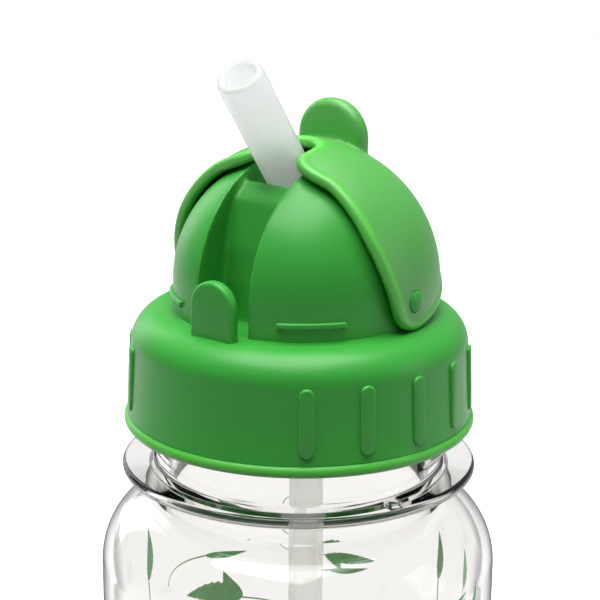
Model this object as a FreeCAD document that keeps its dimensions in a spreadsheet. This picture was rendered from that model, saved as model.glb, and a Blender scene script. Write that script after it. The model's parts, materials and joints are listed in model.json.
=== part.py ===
"""Kids water bottle: clear bottle, screw lid with a hollow dome, turning visor and bending spout.

The origin is the centre of the base. +Z is up, the spout leans to the front, which is -Y, and
the visor turns about an axis along X. Lengths are in millimetres.
"""

import FreeCAD, Part
import math
import os

import Sketcher

os.makedirs("parts", exist_ok=True)
doc = FreeCAD.newDocument("kids_water_bottle")
sheet = doc.addObject("Spreadsheet::Sheet", "sizes")
Vector = FreeCAD.Vector
Rotation = FreeCAD.Rotation
Placement = FreeCAD.Placement

SIZES = {
    # bottle body
    "body_radius": 36.5,
    "wall": 2.0,
    "foot_round": 6.0,
    "foot_inner_radius": 27.5,
    "push_up": 3.2,
    "shoulder_start": 119.1,
    "shoulder_round": 14.0,
    "neck_root_radius": 27.0,
    "flange_radius": 32.4,
    "flange_middle": 138.0,
    "flange_thickness": 1.9,
    "neck_radius": 26.4,
    "neck_inner_radius": 24.7,
    "lip_height": 162.8,
    "lug_inner": 29.5,
    "lug_outer": 32.3,
    "lug_width": 2.4,
    "lug_height": 1.2,
    "lug_azimuth": 69.0,
    # screw thread
    "thread_pitch": 4.5,
    "thread_start": 142.0,
    "thread_turns": 2.5,
    "lid_thread_turns": 1.25,
    "thread_depth": 1.2,
    "thread_root_width": 1.9,
    "thread_crest_width": 1.0,
    # lid skirt and shoulder
    "lid_bottom": 146.0,
    "bead_radius": 32.0,
    "bead_round": 1.1,
    "skirt_radius": 31.2,
    "skirt_top_radius": 30.6,
    "lid_round": 6.0,
    "lid_top": 167.1,
    "lid_inner_radius": 28.2,
    "lid_ceiling": 164.7,
    # grip ribs
    "rib_width": 2.7,
    "rib_reach": 31.5,
    "rib_low": 149.5,
    "rib_high": 161.7,
    "rib_pitch": 19.6,
    "rib_lead": 1.65,
    "ribs_per_side": 6,
    # dome and channel
    "pivot_height": 172.6,
    "dome_radius": 22.9,
    "dome_wall": 2.2,
    "channel_half_width": 5.5,
    "channel_floor": 15.0,
    "core_wall": 2.0,
    "core_radius": 21.0,
    "seat_top": 4.5,
    "seat_thickness": 3.0,
    "well_front": 2.3,
    "well_back": 7.2,
    "ridge_height": 1.2,
    "ridge_reach": 23.55,
    "ridge_drop": 2.4,
    "ridge_azimuth": 27.0,
    "ridge_angle": 30.0,
    # guard tab on the lid
    "guard_back": 23.7,
    "guard_front": 25.3,
    "guard_half_width": 4.65,
    "guard_rise": 10.0,
    # pivot studs
    "stud_radius": 1.95,
    "stud_reach": 25.6,
    # visor
    "visor_inner": 23.9,
    "visor_outer": 25.2,
    "visor_bead": 25.8,
    "visor_bead_width": 1.8,
    "visor_bore": 2.02,
    "notch_half_width": 5.1,
    "notch_flare": 7.0,
    "notch_back": 1.5,
    "thumb_back": 9.6,
    "thumb_half_width": 7.3,
    "thumb_top": 31.4,
    "thumb_thickness": 3.4,
    # spout, in its own frame: +Z along the straw, the front is -Y
    "spout_set_back": 2.5,
    "spout_radius": 4.2,
    "spout_bore": 2.65,
    "spout_lean": 36.0,
    "spout_bend_radius": 14.0,
    "spout_bend_start": 6.65,
    "spout_root_straight": 23.95,
    "spout_tip_length": 5.7,
    "spout_joint_gap": 0.05,
    "spout_socket_radius": 5.2,
    "spout_socket_low": 10.0,
    "spout_socket_depth": 8.0,
    "spout_collar": 6.3,
    "seat_bore": 4.3,
    # straw, gasket, valve
    "straw_radius": 3.22,
    "straw_bore": 2.3,
    "straw_low": 9.0,
    "gasket_inner": 22.4,
    "gasket_outer": 26.9,
    "gasket_gap": 0.06,
    "valve_side": 3.6,
    "valve_drop": 2.5,
    "valve_stem": 0.95,
    "valve_hole": 1.02,
    "valve_disc": 3.0,
    "valve_disc_thickness": 0.8,
}


class Size:
    """A number together with the expression that gives it from the sheet."""

    def __init__(self, value, text):
        self.value, self.text = float(value), text

    def joined(self, other, sign, value):
        other_text = other.text if isinstance(other, Size) else str(other)
        return Size(value, f"({self.text} {sign} {other_text})")

    def __add__(self, other):
        return self.joined(other, "+", self.value + number(other))

    def __sub__(self, other):
        return self.joined(other, "-", self.value - number(other))

    def __mul__(self, other):
        return self.joined(other, "*", self.value * number(other))

    def __truediv__(self, other):
        return self.joined(other, "/", self.value / number(other))

    def __neg__(self):
        return Size(-self.value, f"(-1 * {self.text})")


def number(size):
    """The plain number in a Size or a number."""
    return size.value if isinstance(size, Size) else float(size)


class Sizes:
    """The sheet's aliases as Size attributes."""


def fill_sheet():
    """Write every driving size to the sheet and return them as Size attributes."""
    found = Sizes()
    for row, (alias, value) in enumerate(SIZES.items(), start=1):
        sheet.set(f"A{row}", alias)
        sheet.set(f"B{row}", str(value))
        sheet.setAlias(f"B{row}", alias)
        setattr(found, alias, Size(value, f"sizes.{alias}"))
    doc.recompute()
    return found


s = fill_sheet()


# ---------------------------------------------------------------- helpers

def bind(target, name, size):
    """Tie one property to a size."""
    if isinstance(size, Size):
        target.setExpression(name, size.text)
    else:
        setattr(target, name, size)


def make_body(name):
    """A PartDesign body whose label names its file."""
    body = doc.addObject("PartDesign::Body", name)
    body.Label = name
    return body


def origin_feature(body, role):
    return next(item for item in body.Origin.OriginFeatures if item.Role == role)


def make_sketch(owner, name, plane, turn=0.0, lift=0.0, axis=(0, 1, 0)):
    """A sketch on a body's origin plane, turned about a local axis and then lifted along its normal."""
    sketch = owner.newObject("Sketcher::SketchObject", name)
    sketch.AttachmentSupport = [(origin_feature(owner, plane), "")]
    sketch.MapMode = "FlatFace"
    rotation = Rotation(Vector(*axis), turn)
    sketch.AttachmentOffset = Placement(rotation.multVec(Vector(0, 0, lift)), rotation)
    return sketch


def place_point(sketch, index, end, x, y):
    """Fix one end of a sketch line at two sizes measured from the sketch's origin."""
    for kind, size, line in (("DistanceX", x, -2), ("DistanceY", y, -1)):
        if number(size) == 0:
            sketch.addConstraint(Sketcher.Constraint("PointOnObject", index, end, line))
            continue
        place = sketch.addConstraint(
            Sketcher.Constraint(kind, -1, 1, index, end, number(size))
        )
        if isinstance(size, Size):
            sketch.setExpression(f"Constraints[{place}]", size.text)


def arc_between(start, end, radius):
    """An arc from start to end; a positive radius turns anticlockwise, a negative one clockwise."""
    chord = end - start
    middle = (start + end) * 0.5
    reach = abs(number(radius))
    lift = math.sqrt(max(reach**2 - (chord.Length / 2) ** 2, 0.0))
    side = Vector(-chord.y, chord.x, 0).normalize() * math.copysign(1, number(radius))
    centre = middle + side * lift
    bulge = centre - side * reach
    return Part.Arc(start, bulge, end)


def outline(sketch, corners, closed=True):
    """Draw lines and arcs through corners; a third entry is the radius of the arc to the next corner."""
    points = [Vector(number(c[0]), number(c[1]), 0) for c in corners]
    count = len(corners) if closed else len(corners) - 1
    arcs = {}
    for i in range(count):
        start, end = points[i], points[(i + 1) % len(points)]
        if len(corners[i]) > 2:
            arc = arc_between(start, end, corners[i][2])
            arcs[i] = arc
            sketch.addGeometry(arc)
        else:
            sketch.addGeometry(Part.LineSegment(start, end))
    # an arc drawn clockwise is stored with its ends swapped
    first = [2 if i in arcs and number(corners[i][2]) < 0 else 1 for i in range(count)]
    last = [3 - one for one in first]
    for i in range(count):
        place_point(sketch, i, first[i], corners[i][0], corners[i][1])
        if i + 1 < count or closed:
            after = (i + 1) % count
            sketch.addConstraint(
                Sketcher.Constraint("Coincident", i, last[i], after, first[after])
            )
    if not closed:
        place_point(sketch, count - 1, last[-1], corners[-1][0], corners[-1][1])
    for i in arcs:
        radius = corners[i][2]
        place = sketch.addConstraint(Sketcher.Constraint("Radius", i, abs(number(radius))))
        if isinstance(radius, Size):
            positive = radius if radius.value > 0 else -radius
            sketch.setExpression(f"Constraints[{place}]", positive.text)


def circle(sketch, radius, x=0, y=0):
    """A circle of a bound radius."""
    index = sketch.addGeometry(
        Part.Circle(Vector(number(x), number(y), 0), Vector(0, 0, 1), number(radius))
    )
    place = sketch.addConstraint(Sketcher.Constraint("Radius", index, number(radius)))
    if isinstance(radius, Size):
        sketch.setExpression(f"Constraints[{place}]", radius.text)
    place_point(sketch, index, 3, x, y)


def revolve(body, name, sketch, angle=360.0):
    """Turn a sketch about the body's Z axis."""
    turn = body.newObject("PartDesign::Revolution", name)
    turn.Profile = sketch
    turn.ReferenceAxis = (origin_feature(body, "Z_Axis"), [""])
    bind(turn, "Angle", angle)
    return turn


def pad(body, name, sketch, length, symmetric=False):
    """Extrude a sketch along its normal."""
    block = body.newObject("PartDesign::Pad", name)
    block.Profile = sketch
    bind(block, "Length", length)
    if symmetric:
        block.SideType = "Symmetric"
    return block


def pocket(body, name, sketch, length, symmetric=False, reverse=False):
    """Cut a sketch's outline out of the body and make sure that it cut something."""
    doc.recompute()
    before = body.Shape.Volume
    cut = body.newObject("PartDesign::Pocket", name)
    cut.Profile = sketch
    bind(cut, "Length", length)
    cut.Reversed = reverse
    if symmetric:
        cut.SideType = "Symmetric"
    doc.recompute()
    if body.Shape.Volume >= before - 1e-6:
        raise RuntimeError(f"{name} cuts nothing")
    return cut


def screw_ridge(body, name, root_radius, outward, start, turns):
    """A trapezoid ridge along a right-hand helix, on the outside (1) or the inside (-1) of a wall."""
    sketch = make_sketch(body, name + "_section", "XZ_Plane")
    sink = 0.3 * outward
    crest = root_radius + s.thread_depth * outward
    root = root_radius - sink
    outline(sketch, [
        (root, start - s.thread_root_width / 2),
        (crest, start - s.thread_crest_width / 2),
        (crest, start + s.thread_crest_width / 2),
        (root, start + s.thread_root_width / 2),
    ])
    ridge = body.newObject("PartDesign::AdditiveHelix", name)
    ridge.Profile = sketch
    ridge.ReferenceAxis = (origin_feature(body, "Z_Axis"), [""])
    ridge.Mode = "pitch-turns-angle"
    bind(ridge, "Pitch", s.thread_pitch)
    bind(ridge, "Turns", turns)
    return ridge


# ---------------------------------------------------------------- bottle body

def build_bottle_body():
    """One clear moulding: body, shoulder, flange with a stop lug, and a threaded neck."""
    body = make_body("bottle_body")
    floor = s.wall
    flange_low = s.flange_middle - s.flange_thickness / 2
    flange_high = s.flange_middle + s.flange_thickness / 2
    arc_centre = s.body_radius - s.shoulder_round
    rise_out = math.sqrt(
        s.shoulder_round.value**2 - (s.neck_root_radius - arc_centre).value ** 2
    )
    inner_round = s.shoulder_round - s.wall
    rise_in = math.sqrt(
        inner_round.value**2 - (s.neck_inner_radius - arc_centre).value ** 2
    )
    flat = s.body_radius - s.foot_round
    dish_edge = s.foot_inner_radius - 4.5
    dish_rise = s.push_up - 1.8
    sketch = make_sketch(body, "bottle_profile", "XZ_Plane")
    outline(sketch, [
        (0, s.push_up),
        (dish_edge, dish_rise),
        (s.foot_inner_radius, 0),
        (flat, 0, s.foot_round),
        (s.body_radius, s.foot_round),
        (s.body_radius, s.shoulder_start, s.shoulder_round),
        (s.neck_root_radius, s.shoulder_start + rise_out),
        (s.neck_root_radius, flange_low),
        (s.flange_radius - 0.5, flange_low),
        (s.flange_radius, flange_low + 0.5),
        (s.flange_radius, flange_high - 0.5),
        (s.flange_radius - 0.5, flange_high),
        (s.neck_radius, flange_high),
        (s.neck_radius, s.lip_height - 0.6),
        (s.neck_radius - 0.5, s.lip_height),
        (s.neck_inner_radius + 0.4, s.lip_height),
        (s.neck_inner_radius, s.lip_height - 0.5),
        (s.neck_inner_radius, s.shoulder_start + rise_in, -inner_round),
        (s.body_radius - s.wall, s.shoulder_start),
        (s.body_radius - s.wall, s.foot_round, -(s.foot_round - s.wall)),
        (flat, floor),
        (s.foot_inner_radius, floor),
        (dish_edge, dish_rise + s.wall),
        (0, s.push_up + s.wall),
    ])
    revolve(body, "bottle_shell", sketch)
    screw_ridge(body, "neck_thread", s.neck_radius, 1, s.thread_start, s.thread_turns)
    lug = make_sketch(body, "lug_outline", "XY_Plane", turn=SIZES["lug_azimuth"] - 90,
                      lift=flange_high.value - 0.2, axis=(0, 0, 1))
    half = s.lug_width / 2
    outline(lug, [(s.lug_inner, -half), (s.lug_outer, -half), (s.lug_outer, half),
                  (s.lug_inner, half)])
    pad(body, "stop_lug", lug, s.lug_height + 0.2)
    return body


# ---------------------------------------------------------------- screw lid

def add_lid_shell(body):
    """Skirt, bottom bead, shoulder and hollow dome, as one turned profile."""
    dome_inner = s.dome_radius - s.dome_wall
    bead_centre = s.bead_radius - s.bead_round
    sketch = make_sketch(body, "lid_profile", "XZ_Plane")
    outline(sketch, [
        (bead_centre, s.lid_bottom, s.bead_round),
        (bead_centre, s.lid_bottom + s.bead_round * 2),
        (s.skirt_radius, s.lid_bottom + s.bead_round * 2),
        (s.skirt_top_radius, s.lid_top - s.lid_round, s.lid_round),
        (s.skirt_top_radius - s.lid_round, s.lid_top),
        (s.dome_radius, s.lid_top),
        (s.dome_radius, s.pivot_height, s.dome_radius),
        (0, s.pivot_height + s.dome_radius),
        (0, s.pivot_height + dome_inner, -dome_inner),
        (dome_inner, s.pivot_height),
        (dome_inner, s.lid_ceiling),
        (s.lid_inner_radius - 1.0, s.lid_ceiling),
        (s.lid_inner_radius, s.lid_ceiling - 1.3),
        (s.lid_inner_radius, s.lid_bottom + 0.6),
        (s.lid_inner_radius + 0.6, s.lid_bottom),
    ])
    revolve(body, "lid_shell", sketch)


def add_channel(body):
    """The solid core inside the dome, then the front channel and the spout's well cut into it."""
    zero = s.pivot_height
    core_front = s.channel_floor - s.core_wall
    well_front = s.well_front + s.core_wall
    well_back = s.well_back + s.core_wall
    top = math.sqrt(s.core_radius.value**2 - well_back.value**2)
    side = make_sketch(body, "core_profile", "YZ_Plane")
    outline(side, [
        (-core_front, s.lid_ceiling),
        (-core_front, zero + 2.0),
        (-(core_front - 1.8), zero + 13.0),
        (-(core_front - 3.5), zero + 15.5),
        (-(well_front + 1.9), zero + 11.5),
        (-well_front, zero + 7.0),
        (-well_front, zero + s.seat_top - s.seat_thickness),
        (well_back, zero + s.seat_top - s.seat_thickness),
        (well_back, zero + top, s.core_radius),
        (-s.core_radius, zero),
        (-s.core_radius, s.lid_ceiling),
    ])
    pad(body, "channel_core", side, (s.channel_half_width + s.core_wall) * 2, symmetric=True)
    cut = make_sketch(body, "channel_profile", "YZ_Plane")
    outline(cut, [
        (-s.channel_floor, s.lid_top),
        (-s.channel_floor, zero + 2.0),
        (-(s.channel_floor - 0.5), zero + 7.9),
        (-(s.channel_floor - 1.5), zero + 11.9),
        (-(s.channel_floor - 2.8), zero + 16.1),
        (-(s.channel_floor - 6.0), zero + 19.1),
        (-(s.well_front + 2.0), zero + 12.2),
        (-s.well_front, zero + 8.0),
        (-s.well_front, zero + s.seat_top),
        (s.well_back, zero + s.seat_top),
        (s.well_back, zero + 26.0),
        (-s.dome_radius - 1.5, zero + 26.0),
        (-s.dome_radius - 1.5, s.lid_top),
    ])
    pocket(body, "front_channel", cut, s.channel_half_width * 2, symmetric=True)


def add_seat_bores(body):
    """The spout's bore in the seat and the vent hole low in the channel floor."""
    seat = make_sketch(body, "seat_bore_outline", "XY_Plane",
                       lift=(s.pivot_height + s.seat_top + 1).value)
    circle(seat, s.seat_bore, 0, s.spout_set_back)
    pocket(body, "seat_bore", seat, s.seat_thickness + 2)
    vent = make_sketch(body, "vent_outline", "XZ_Plane",
                       lift=(s.channel_floor + 1).value)
    circle(vent, s.valve_hole, -s.valve_side, s.pivot_height - s.valve_drop)
    pocket(body, "vent_hole", vent, s.core_wall + 2)


def add_guard_tab(body):
    """The round-topped tab that stands in front of the channel."""
    high = s.lid_top + s.guard_rise - s.guard_half_width
    sketch = make_sketch(body, "guard_outline", "XZ_Plane", lift=SIZES["guard_back"])
    outline(sketch, [
        (-s.guard_half_width, s.lid_top - 1.0),
        (s.guard_half_width, s.lid_top - 1.0),
        (s.guard_half_width, high, s.guard_half_width),
        (0, s.lid_top + s.guard_rise, s.guard_half_width),
        (-s.guard_half_width, high),
    ])
    pad(body, "guard_tab", sketch, s.guard_front - s.guard_back)


def add_grip_ribs(body):
    """Six upright ribs around each side, in a row whose middle stands a little in front of the pivot."""
    half = s.rib_width / 2
    root = SIZES["lid_inner_radius"] + 1.2
    span = SIZES["rib_pitch"] * (SIZES["ribs_per_side"] - 1)
    middles = {"right": -SIZES["rib_lead"], "left": 180 + SIZES["rib_lead"]}
    for side, middle in middles.items():
        sketch = make_sketch(body, f"{side}_rib_outline", "YZ_Plane", turn=middle - span / 2,
                             lift=root)
        outline(sketch, [
            (-half, s.rib_low + half, half),
            (0, s.rib_low, half),
            (half, s.rib_low + half),
            (half, s.rib_high - half, half),
            (0, s.rib_high, half),
            (-half, s.rib_high - half),
        ])
        rib = pad(body, f"{side}_grip_rib", sketch, s.rib_reach - root)
        doc.recompute()
        row = body.newObject("PartDesign::PolarPattern", f"{side}_rib_row")
        row.Originals = [rib]
        row.Axis = (origin_feature(body, "Z_Axis"), [""])
        bind(row, "Occurrences", s.ribs_per_side)
        row.setExpression("Angle", (s.rib_pitch * (s.ribs_per_side - 1)).text)
        body.Tip = row
        doc.recompute()


def add_dome_ridges(body):
    """A short raised ridge low on each side of the channel."""
    low = s.pivot_height - s.ridge_drop - s.ridge_height / 2
    starts = {"right": SIZES["ridge_azimuth"] - 90,
              "left": -90 - SIZES["ridge_azimuth"] - SIZES["ridge_angle"]}
    for side, start in starts.items():
        sketch = make_sketch(body, f"{side}_ridge_section", "XZ_Plane", turn=start)
        outline(sketch, [
            (s.dome_radius - 0.8, low),
            (s.ridge_reach - 0.3, low),
            (s.ridge_reach, low + 0.3),
            (s.ridge_reach, low + s.ridge_height - 0.3),
            (s.ridge_reach - 0.3, low + s.ridge_height),
            (s.dome_radius - 0.8, low + s.ridge_height),
        ])
        revolve(body, f"{side}_ridge", sketch, s.ridge_angle)


def add_pivot_studs(body):
    """The two round studs that the visor turns on."""
    root = SIZES["dome_radius"] - 1.5
    for side, turn in (("right", 0), ("left", 180)):
        sketch = make_sketch(body, f"{side}_stud_outline", "YZ_Plane", turn=turn, lift=root)
        circle(sketch, s.stud_radius, 0, s.pivot_height)
        pad(body, f"{side}_stud", sketch, s.stud_reach - root)


def build_screw_lid():
    """The green lid, one moulding."""
    body = make_body("screw_lid")
    add_lid_shell(body)
    add_channel(body)
    add_seat_bores(body)
    add_guard_tab(body)
    add_grip_ribs(body)
    add_dome_ridges(body)
    add_pivot_studs(body)
    start = s.thread_start + s.thread_pitch * 1.5
    screw_ridge(body, "lid_thread", s.lid_inner_radius, -1, start, s.lid_thread_turns)
    return body


# ---------------------------------------------------------------- visor

def sphere(name, radius):
    """A ball about the pivot's centre."""
    ball = doc.addObject("Part::Sphere", name)
    bind(ball, "Radius", radius)
    ball.setExpression("Placement.Base.z", s.pivot_height.text)
    return ball


def prism(name, plane_rotation, corners, length):
    """A sketch extruded both ways from a plane through the pivot's centre."""
    sketch = doc.addObject("Sketcher::SketchObject", name + "_outline")
    sketch.Placement = Placement(Vector(0, 0, 0), plane_rotation)
    outline(sketch, corners)
    block = doc.addObject("Part::Extrusion", name)
    block.Base = sketch
    block.DirMode = "Normal"
    block.LengthFwd = length
    block.LengthRev = length
    block.Solid = True
    return block


def join(kind, name, base, tool):
    """A boolean of two objects."""
    joined = doc.addObject(kind, name)
    joined.Base = base
    joined.Tool = tool
    return joined


def visor_side(inset):
    """The visor's outline seen along the pivot axis, as (back, up) corners, drawn in by an inset."""
    zero = s.pivot_height
    far = 40.0
    return [
        (-(9.0 - inset), zero + far),
        (-(9.0 - inset), zero + 20.0),
        (-(8.5 - inset), zero + 12.0),
        (-(7.4 - inset), zero + 5.5),
        (-(5.8 - inset), zero + inset * 0.3),
        (-(4.1 - inset * 0.9), zero - 3.2 + inset * 0.6),
        (-(1.2 - inset * 0.4), zero - 5.0 + inset),
        (13.5, zero - 0.5 + inset),
        (far, zero + 4.0 + inset),
        (far, zero + far),
    ]


def notch(widen):
    """The notch seen from above, as (side, back) corners, widened by an amount."""
    half = s.notch_half_width + widen
    back = s.notch_back + widen
    flare = s.notch_flare + widen
    front = 30.0
    return [
        (-flare - 0.6, -front),
        (flare + 0.6, -front),
        (flare + 0.6, -(9.2 - widen)),
        (half, -(7.0 - widen * 0.8)),
        (half, back - half, half),
        (0, back, half),
        (-half, back - half),
        (-half, -(7.0 - widen * 0.8)),
        (-flare - 0.6, -(9.2 - widen)),
    ]


def build_visor():
    """The turning cover: a ball shell with a raised edge, a notch, a thumb tab and two bores."""
    sideways = Rotation(Vector(1, 1, 1), 120)
    inner = sphere("visor_hollow", s.visor_inner)
    outer = sphere("visor_skin", s.visor_outer)
    thick = sphere("visor_edge", s.visor_bead)
    beyond = sphere("visor_beyond", s.visor_bead + 3.0)
    edge_zone = join("Part::Common", "visor_edge_zone",
                     thick, prism("visor_side", sideways, visor_side(0.0), 40.0))
    notched = join("Part::Cut", "visor_notched", edge_zone,
                   prism("visor_notch", Rotation(), notch(0.0), 300.0))
    skin_side = prism("visor_skin_side", sideways, visor_side(SIZES["visor_bead_width"]), 40.0)
    skin_zone = join("Part::Cut", "visor_skin_zone", skin_side,
                     prism("visor_skin_notch", Rotation(), notch(SIZES["visor_bead_width"]), 300.0))
    above_skin = join("Part::Cut", "visor_above_skin", beyond, outer)
    relief = join("Part::Common", "visor_relief", above_skin, skin_zone)
    cover = join("Part::Cut", "visor_cover", notched, relief)
    half = s.thumb_half_width
    top = s.pivot_height + s.thumb_top
    thumb = doc.addObject("Sketcher::SketchObject", "thumb_outline")
    thumb.Placement = Placement(Vector(0, 0, 0), Rotation(Vector(1, 0, 0), 90))
    outline(thumb, [
        (-half, s.pivot_height + 18.0),
        (half, s.pivot_height + 18.0),
        (half, top - half, half),
        (0, top, half),
        (-half, top - half),
    ])
    tab = doc.addObject("Part::Extrusion", "thumb_plate")
    tab.Base = thumb
    tab.DirMode = "Normal"
    tab.setExpression("LengthRev", (s.thumb_back + s.thumb_thickness / 2).text)
    tab.setExpression("LengthFwd", (-(s.thumb_back - s.thumb_thickness / 2)).text)
    tab.Solid = True
    whole = join("Part::Fuse", "visor_with_tab", cover, tab)
    hollow = join("Part::Cut", "visor_hollowed", whole, inner)
    bore = doc.addObject("Part::Cylinder", "visor_bore_tool")
    bind(bore, "Radius", s.visor_bore)
    bore.Height = 80.0
    bore.Placement = Placement(Vector(-40, 0, s.pivot_height.value), Rotation(Vector(0, 1, 0), 90))
    visor = join("Part::Cut", "visor", hollow, bore)
    visor.Label = "visor"
    return visor


# ---------------------------------------------------------------- spout and straw

def build_spout_root():
    """The spout's lower part: straw socket, collar, bead above the seat, and the bend."""
    body = make_body("spout_root")
    body.Placement = Placement(Vector(0, s.spout_set_back.value, s.pivot_height.value), Rotation())
    seat_low = s.seat_top - s.seat_thickness
    sketch = make_sketch(body, "spout_root_profile", "XZ_Plane")
    socket_top = s.spout_socket_depth - s.spout_socket_low
    outline(sketch, [
        (s.straw_radius + 0.03, -s.spout_socket_low),
        (s.spout_socket_radius, -s.spout_socket_low),
        (s.spout_socket_radius, seat_low - 2.4),
        (s.spout_collar, seat_low - 2.0),
        (s.spout_collar, seat_low - 0.05),
        (s.spout_radius, seat_low - 0.05),
        (s.spout_radius, s.seat_top + 0.05),
        (s.spout_radius, s.spout_bend_start),
        (s.spout_bore, s.spout_bend_start),
        (s.spout_bore, socket_top),
        (s.straw_radius + 0.03, socket_top),
    ])
    revolve(body, "spout_socket", sketch)
    lean = math.radians(SIZES["spout_lean"])
    bend = SIZES["spout_bend_radius"]
    start = SIZES["spout_bend_start"]
    bend_end = (-bend * (1 - math.cos(lean)), start + bend * math.sin(lean))
    run = SIZES["spout_root_straight"] - SIZES["spout_joint_gap"]
    route = make_sketch(body, "spout_route", "YZ_Plane")
    outline(route, [
        (0, s.spout_bend_start, s.spout_bend_radius),
        bend_end,
        (bend_end[0] - run * math.sin(lean), bend_end[1] + run * math.cos(lean)),
    ], closed=False)
    ring = make_sketch(body, "spout_section", "XY_Plane", lift=start)
    circle(ring, s.spout_radius)
    circle(ring, s.spout_bore)
    doc.recompute()
    tube = body.newObject("PartDesign::AdditivePipe", "spout_bend")
    tube.Profile = ring
    tube.Spine = (route, ["Edge1", "Edge2"])
    return body


def spout_tip_start():
    """Where the spout's upper part starts, in the whole object's frame."""
    lean = math.radians(SIZES["spout_lean"])
    bend, run = SIZES["spout_bend_radius"], SIZES["spout_root_straight"]
    forward = bend * (1 - math.cos(lean)) + run * math.sin(lean)
    up = SIZES["spout_bend_start"] + bend * math.sin(lean) + run * math.cos(lean)
    return Vector(0, SIZES["spout_set_back"] - forward, SIZES["pivot_height"] + up)


def build_spout_tip():
    """The spout's upper part, with a rounded mouth."""
    body = make_body("spout_tip")
    body.Placement = Placement(spout_tip_start(), Rotation(Vector(1, 0, 0), SIZES["spout_lean"]))
    sketch = make_sketch(body, "spout_tip_profile", "XZ_Plane")
    lip = (s.spout_radius - s.spout_bore) / 2
    outline(sketch, [
        (s.spout_bore, 0),
        (s.spout_radius, 0),
        (s.spout_radius, s.spout_tip_length - lip, lip),
        (s.spout_radius - lip, s.spout_tip_length, lip),
        (s.spout_bore, s.spout_tip_length - lip),
    ])
    revolve(body, "spout_mouth", sketch)
    return body


def turned_ring(name, inner, outer, low, high, bevel):
    """A plain ring with bevelled outer edges."""
    body = make_body(name)
    sketch = make_sketch(body, name + "_profile", "XZ_Plane")
    outline(sketch, [
        (inner, low),
        (outer - bevel, low),
        (outer, low + bevel),
        (outer, high - bevel),
        (outer - bevel, high),
        (inner, high),
    ])
    revolve(body, name + "_ring", sketch)
    return body


def build_straw_tube():
    """The straw, from the spout's socket down to the bottle's floor."""
    high = s.pivot_height - s.spout_socket_low + s.spout_socket_depth - 0.1
    body = turned_ring("straw_tube", s.straw_bore, s.straw_radius, s.straw_low, high, 0.2)
    body.Placement = Placement(Vector(0, s.spout_set_back.value, 0), Rotation())
    return body


def build_lid_gasket():
    """The soft ring between the bottle's lip and the lid."""
    low = s.lip_height + s.gasket_gap
    high = s.lid_ceiling - s.gasket_gap
    return turned_ring("lid_gasket", s.gasket_inner, s.gasket_outer, low, high, 0.3)


def build_vent_valve():
    """A soft valve: a stem through the vent hole and a disc behind it."""
    body = make_body("vent_valve")
    back = s.channel_floor - s.core_wall
    place = Vector(-s.valve_side.value, -back.value, (s.pivot_height - s.valve_drop).value)
    body.Placement = Placement(place, Rotation(Vector(1, 0, 0), 90))
    sketch = make_sketch(body, "valve_profile", "XZ_Plane")
    disc_low = -s.valve_disc_thickness - 0.03
    outline(sketch, [
        (0, disc_low),
        (s.valve_disc, disc_low),
        (s.valve_disc, -0.03),
        (s.valve_stem, -0.03),
        (s.valve_stem, s.core_wall - 0.3),
        (0, s.core_wall - 0.3),
    ])
    revolve(body, "valve_body", sketch)
    return body


# ---------------------------------------------------------------- the whole object

SUB_PARTS = [
    build_bottle_body(),
    build_screw_lid(),
    build_visor(),
    build_spout_root(),
    build_spout_tip(),
    build_straw_tube(),
    build_lid_gasket(),
    build_vent_valve(),
]

doc.recompute()
failed = [item.Name for item in doc.Objects if {"Invalid", "Error"} & set(item.State)]
if failed:
    raise RuntimeError(f"failed objects: {failed}")
for part in SUB_PARTS:
    if part.Shape.isNull() or not part.Shape.isValid() or not part.Shape.Solids:
        raise RuntimeError(f"{part.Label} has no sound shape")
for part in SUB_PARTS:
    part.Shape.exportStep(f"parts/{part.Label}.step")
    box = part.Shape.BoundBox
    print(f"{part.Label:14s} solids {len(part.Shape.Solids)} volume {part.Shape.Volume:9.1f} "
          f"z {box.ZMin:7.2f} {box.ZMax:7.2f} y {box.YMin:7.2f} {box.YMax:7.2f}")
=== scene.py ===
"""Kids water bottle: clear bottle with a leaf print, green screw lid, turning visor, silicone spout.

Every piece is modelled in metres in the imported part's frame: the base is at z = 0, the front is
-Y and the visor turns about an axis along X.
"""

import json
import math

import bmesh
import bpy
from bpy.props import FloatProperty, FloatVectorProperty, IntProperty, PointerProperty
from mathutils import Matrix, Vector
from mathutils.kdtree import KDTree


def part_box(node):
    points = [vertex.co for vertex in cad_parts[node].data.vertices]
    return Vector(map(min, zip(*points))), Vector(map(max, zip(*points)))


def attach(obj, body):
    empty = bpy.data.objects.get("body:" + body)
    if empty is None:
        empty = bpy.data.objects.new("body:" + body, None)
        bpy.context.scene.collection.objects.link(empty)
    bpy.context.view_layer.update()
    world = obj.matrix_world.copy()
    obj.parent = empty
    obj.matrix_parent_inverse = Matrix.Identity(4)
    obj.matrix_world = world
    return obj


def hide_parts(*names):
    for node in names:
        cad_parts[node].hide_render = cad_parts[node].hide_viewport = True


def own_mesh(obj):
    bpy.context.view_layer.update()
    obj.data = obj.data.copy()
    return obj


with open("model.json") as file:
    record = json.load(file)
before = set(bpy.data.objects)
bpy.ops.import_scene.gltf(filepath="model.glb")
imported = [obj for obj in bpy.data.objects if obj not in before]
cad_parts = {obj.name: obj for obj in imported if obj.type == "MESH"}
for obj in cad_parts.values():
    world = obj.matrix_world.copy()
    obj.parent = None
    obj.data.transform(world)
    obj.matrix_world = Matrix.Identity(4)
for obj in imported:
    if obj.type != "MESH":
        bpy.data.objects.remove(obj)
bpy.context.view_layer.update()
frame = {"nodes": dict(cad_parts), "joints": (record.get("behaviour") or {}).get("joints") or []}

bl_info = {
    "name": "Kids Water Bottle",
    "version": (1, 0, 0),
    "blender": (4, 5, 0),
    "location": "View3D > Sidebar > Bottle",
    "description": "Builds a kids water bottle with a visor lid around its packed frame",
    "category": "Object",
}

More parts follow.
